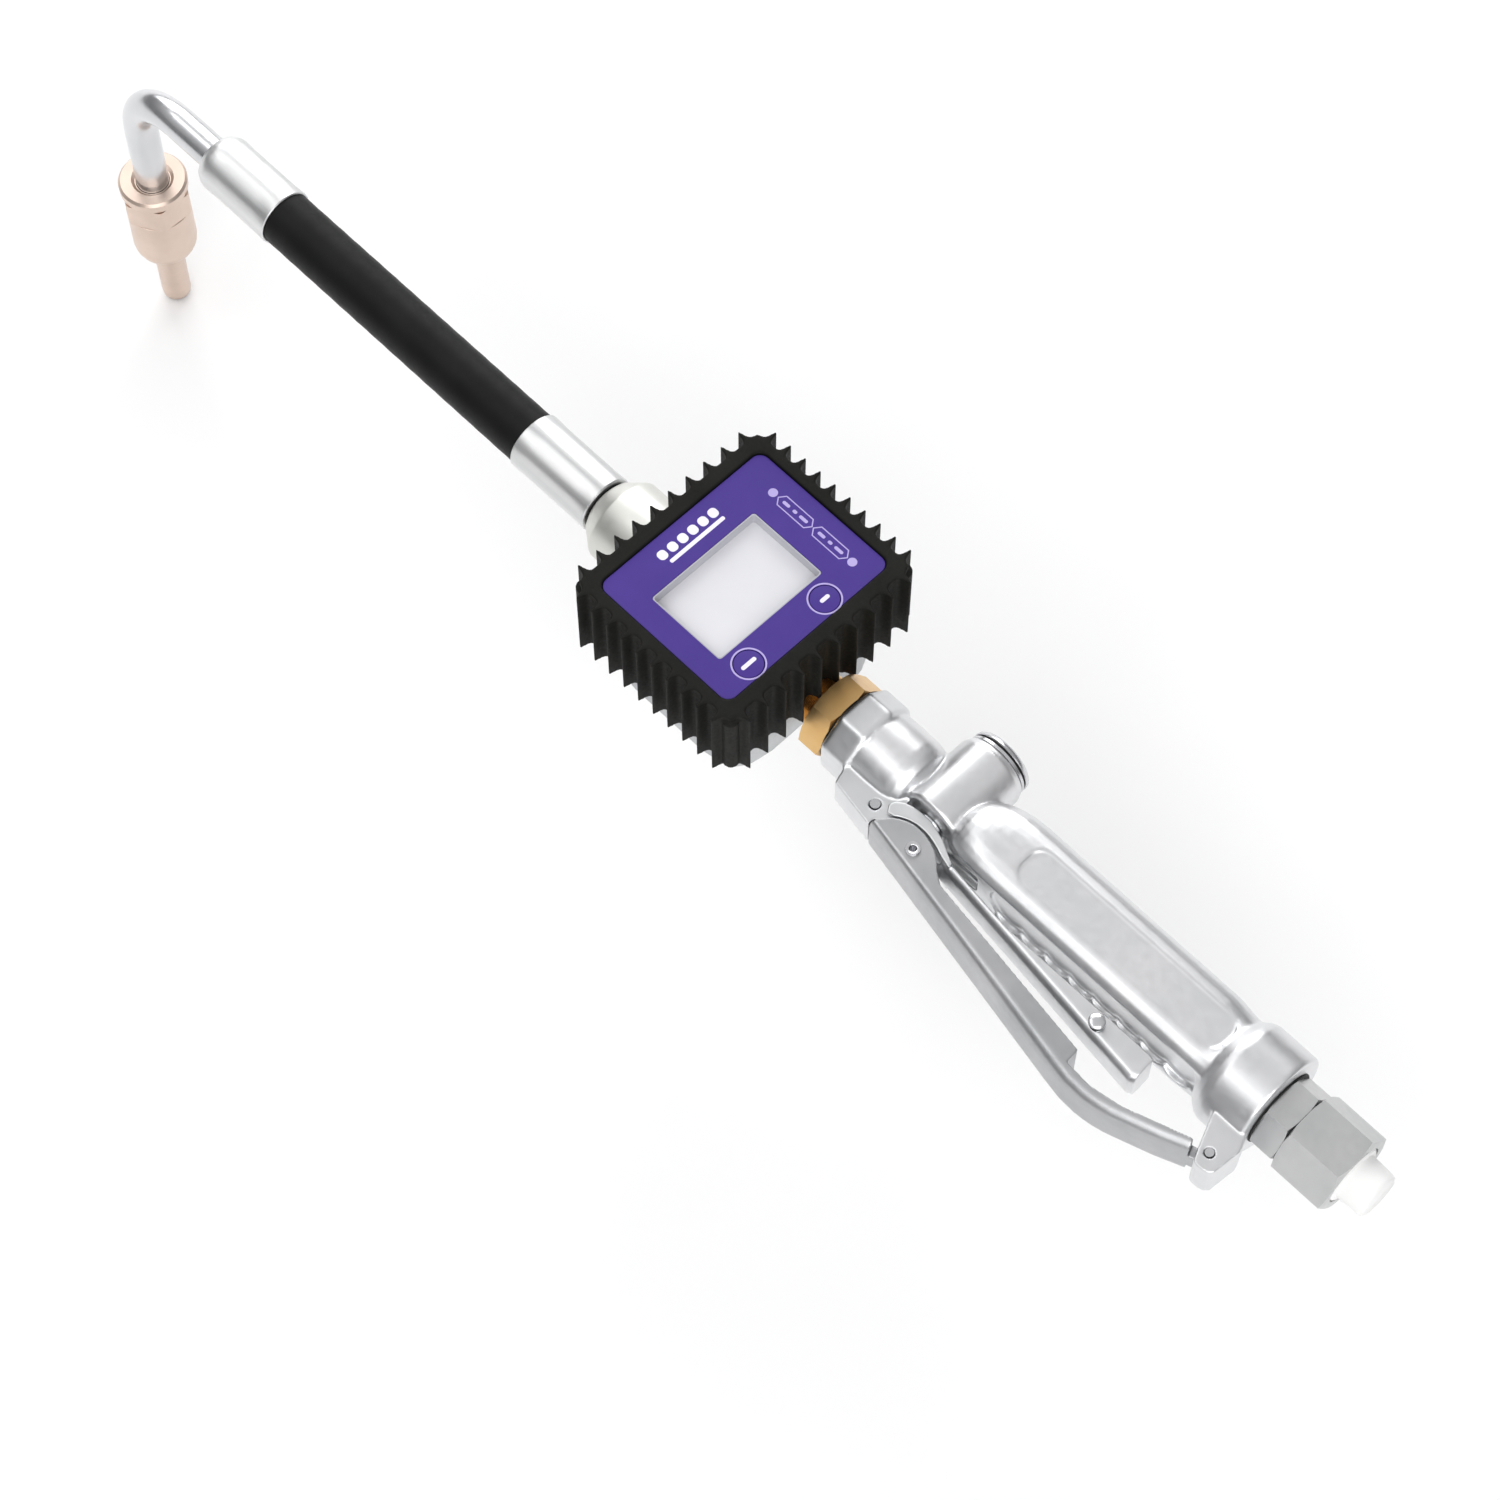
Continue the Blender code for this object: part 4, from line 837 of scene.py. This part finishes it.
def make_print():
    """Rings round the buttons, two long hexagons with plain marks, and a row of drops."""
    for word, y in BUTTONS:
        centre = (BUTTON_X, y)
        printed(word + "_ring", ring_outline(6.1, centre), "print_lilac", ring_outline(5.5, centre))
    for word, x in (("near", -5.6), ("far", 11.2)):
        centre = (x, LEGEND_Y)
        edge = long_hexagon(centre, 8.3, 2.5)
        printed("frame_" + word, edge, "print_lilac", long_hexagon(centre, 7.8, 2.1))
        for k, half in enumerate((1.6, 0.9, 1.9)):
            place = (x - 4.2 + 4.1 * k, LEGEND_Y)
            printed(f"dash_{word}_{k}", rounded_rectangle(half, 0.6, 0.55, 5, place), "print_lilac")
    for word, x in (("start", -16.2), ("end", 21.6)):
        printed("dot_" + word, ring_outline(1.7, (x, LEGEND_Y), 32), "print_lilac")
    for k in range(6):
        place = (-24.6, -14.2 + 4.7 * k)
        printed(f"drop_{k}", rounded_rectangle(1.9, 1.75, 1.5, 8, place))
    printed("underline", rounded_rectangle(0.75, 12.5, 0.6, 6, (-20.8, -1.6)))


def finish_frame():
    """Gives every CAD node that still shows the fine version of its slot's material."""
    slots = {entry["node"]: entry["material_slot"] for entry in frame["record"]["subparts"]}
    names = {"display_grey": "display_glass"}
    for name, thing in frame["nodes"].items():
        material = MATERIALS[names.get(slots[name], slots[name])]
        thing.data.materials.clear()
        thing.data.materials.append(material)


# ---- studio -------------------------------------------------------------------------------
def make_floor():
    bm = bmesh.new()
    bmesh.ops.create_grid(bm, x_segments=1, y_segments=1, size=4000)
    bmesh.ops.translate(bm, vec=(0, 0, FLOOR_Z), verts=bm.verts)
    bmesh.ops.scale(bm, vec=(MM, MM, MM), verts=bm.verts)
    mesh = bpy.data.meshes.new("studio_floor")
    bm.to_mesh(mesh)
    bm.free()
    floor = bpy.data.objects.new("studio_floor", mesh)
    bpy.context.scene.collection.objects.link(floor)
    made, tree, shader = shader_of("studio_floor")
    tree.links.new(shades(tree, noise(tree, 6, 2), (0.90, 0.90, 0.90), (0.92, 0.92, 0.92)),
                   shader.inputs["Base Color"])
    shader.inputs["Roughness"].default_value = 0.9
    mesh.materials.append(made)


def make_world():
    """A soft studio sky: dim near the horizon so that metal shows its form, bright overhead."""
    world = bpy.data.worlds.new("studio")
    bpy.context.scene.world = world
    world.use_nodes = True
    tree = world.node_tree
    place = tree.nodes.new("ShaderNodeTexCoord")
    parts = tree.nodes.new("ShaderNodeSeparateXYZ")
    ramp = tree.nodes.new("ShaderNodeValToRGB")
    for position, level in ((0.30, 0.24), (0.60, 0.50), (0.84, 0.66)):
        stop = ramp.color_ramp.elements.new(position)
        stop.color = (level, level, level * 1.01, 1)
    ramp.color_ramp.elements[0].color = (0.22, 0.22, 0.225, 1)
    ramp.color_ramp.elements[-1].color = (0.72, 0.72, 0.72, 1)
    tree.links.new(place.outputs["Generated"], parts.inputs["Vector"])
    tree.links.new(parts.outputs["Z"], ramp.inputs["Fac"])
    tree.links.new(ramp.outputs["Color"], tree.nodes["Background"].inputs["Color"])


def add_light(name, place, target, size, power):
    lamp = bpy.data.lights.new(name, "AREA")
    lamp.shape = "RECTANGLE"
    lamp.size, lamp.size_y = size
    lamp.energy = power
    thing = bpy.data.objects.new(name, lamp)
    thing.location = place
    direction = Vector(target) - Vector(place)
    thing.rotation_euler = direction.to_track_quat("-Z", "Y").to_euler()
    bpy.context.scene.collection.objects.link(thing)


def make_lights():
    add_light("key", (-1.5, 1.4, 1.05), (0, 0, 0), (2.2, 1.6), 32)
    add_light("fill", (1.5, -1.25, 1.6), (0, 0, 0), (2.4, 2.4), 40)
    add_light("strip", (-0.75, -0.75, 1.7), (0, 0, 0), (2.2, 0.5), 7)


def make_camera():
    back = Vector((0.3311, -0.3227, 0.8867)).normalized()
    right = Vector((0.698, 0.7161, 0)).normalized()
    up = back.cross(right)
    lens = bpy.data.cameras.new("studio_camera")
    lens.sensor_width = 36
    lens.lens = 96
    lens.clip_start = 0.05
    thing = bpy.data.objects.new("studio_camera", lens)
    turn = Matrix((right, up, back)).transposed().to_4x4()
    thing.matrix_world = Matrix.Translation((0.4798, -0.4650, 1.2143)) @ turn
    bpy.context.scene.collection.objects.link(thing)
    bpy.context.scene.camera = thing
    bpy.context.scene.view_settings.view_transform = "Standard"


finish_frame()
make_hose()
make_ferrules()
make_adapter()
make_spout()
make_nozzle()
make_nuts()
make_joint_shade_rings()
make_handle()
make_bonnet()
make_trigger()
make_guard()
make_boot()
make_label()
make_buttons()
make_print()
make_floor()
make_world()
make_lights()
make_camera()
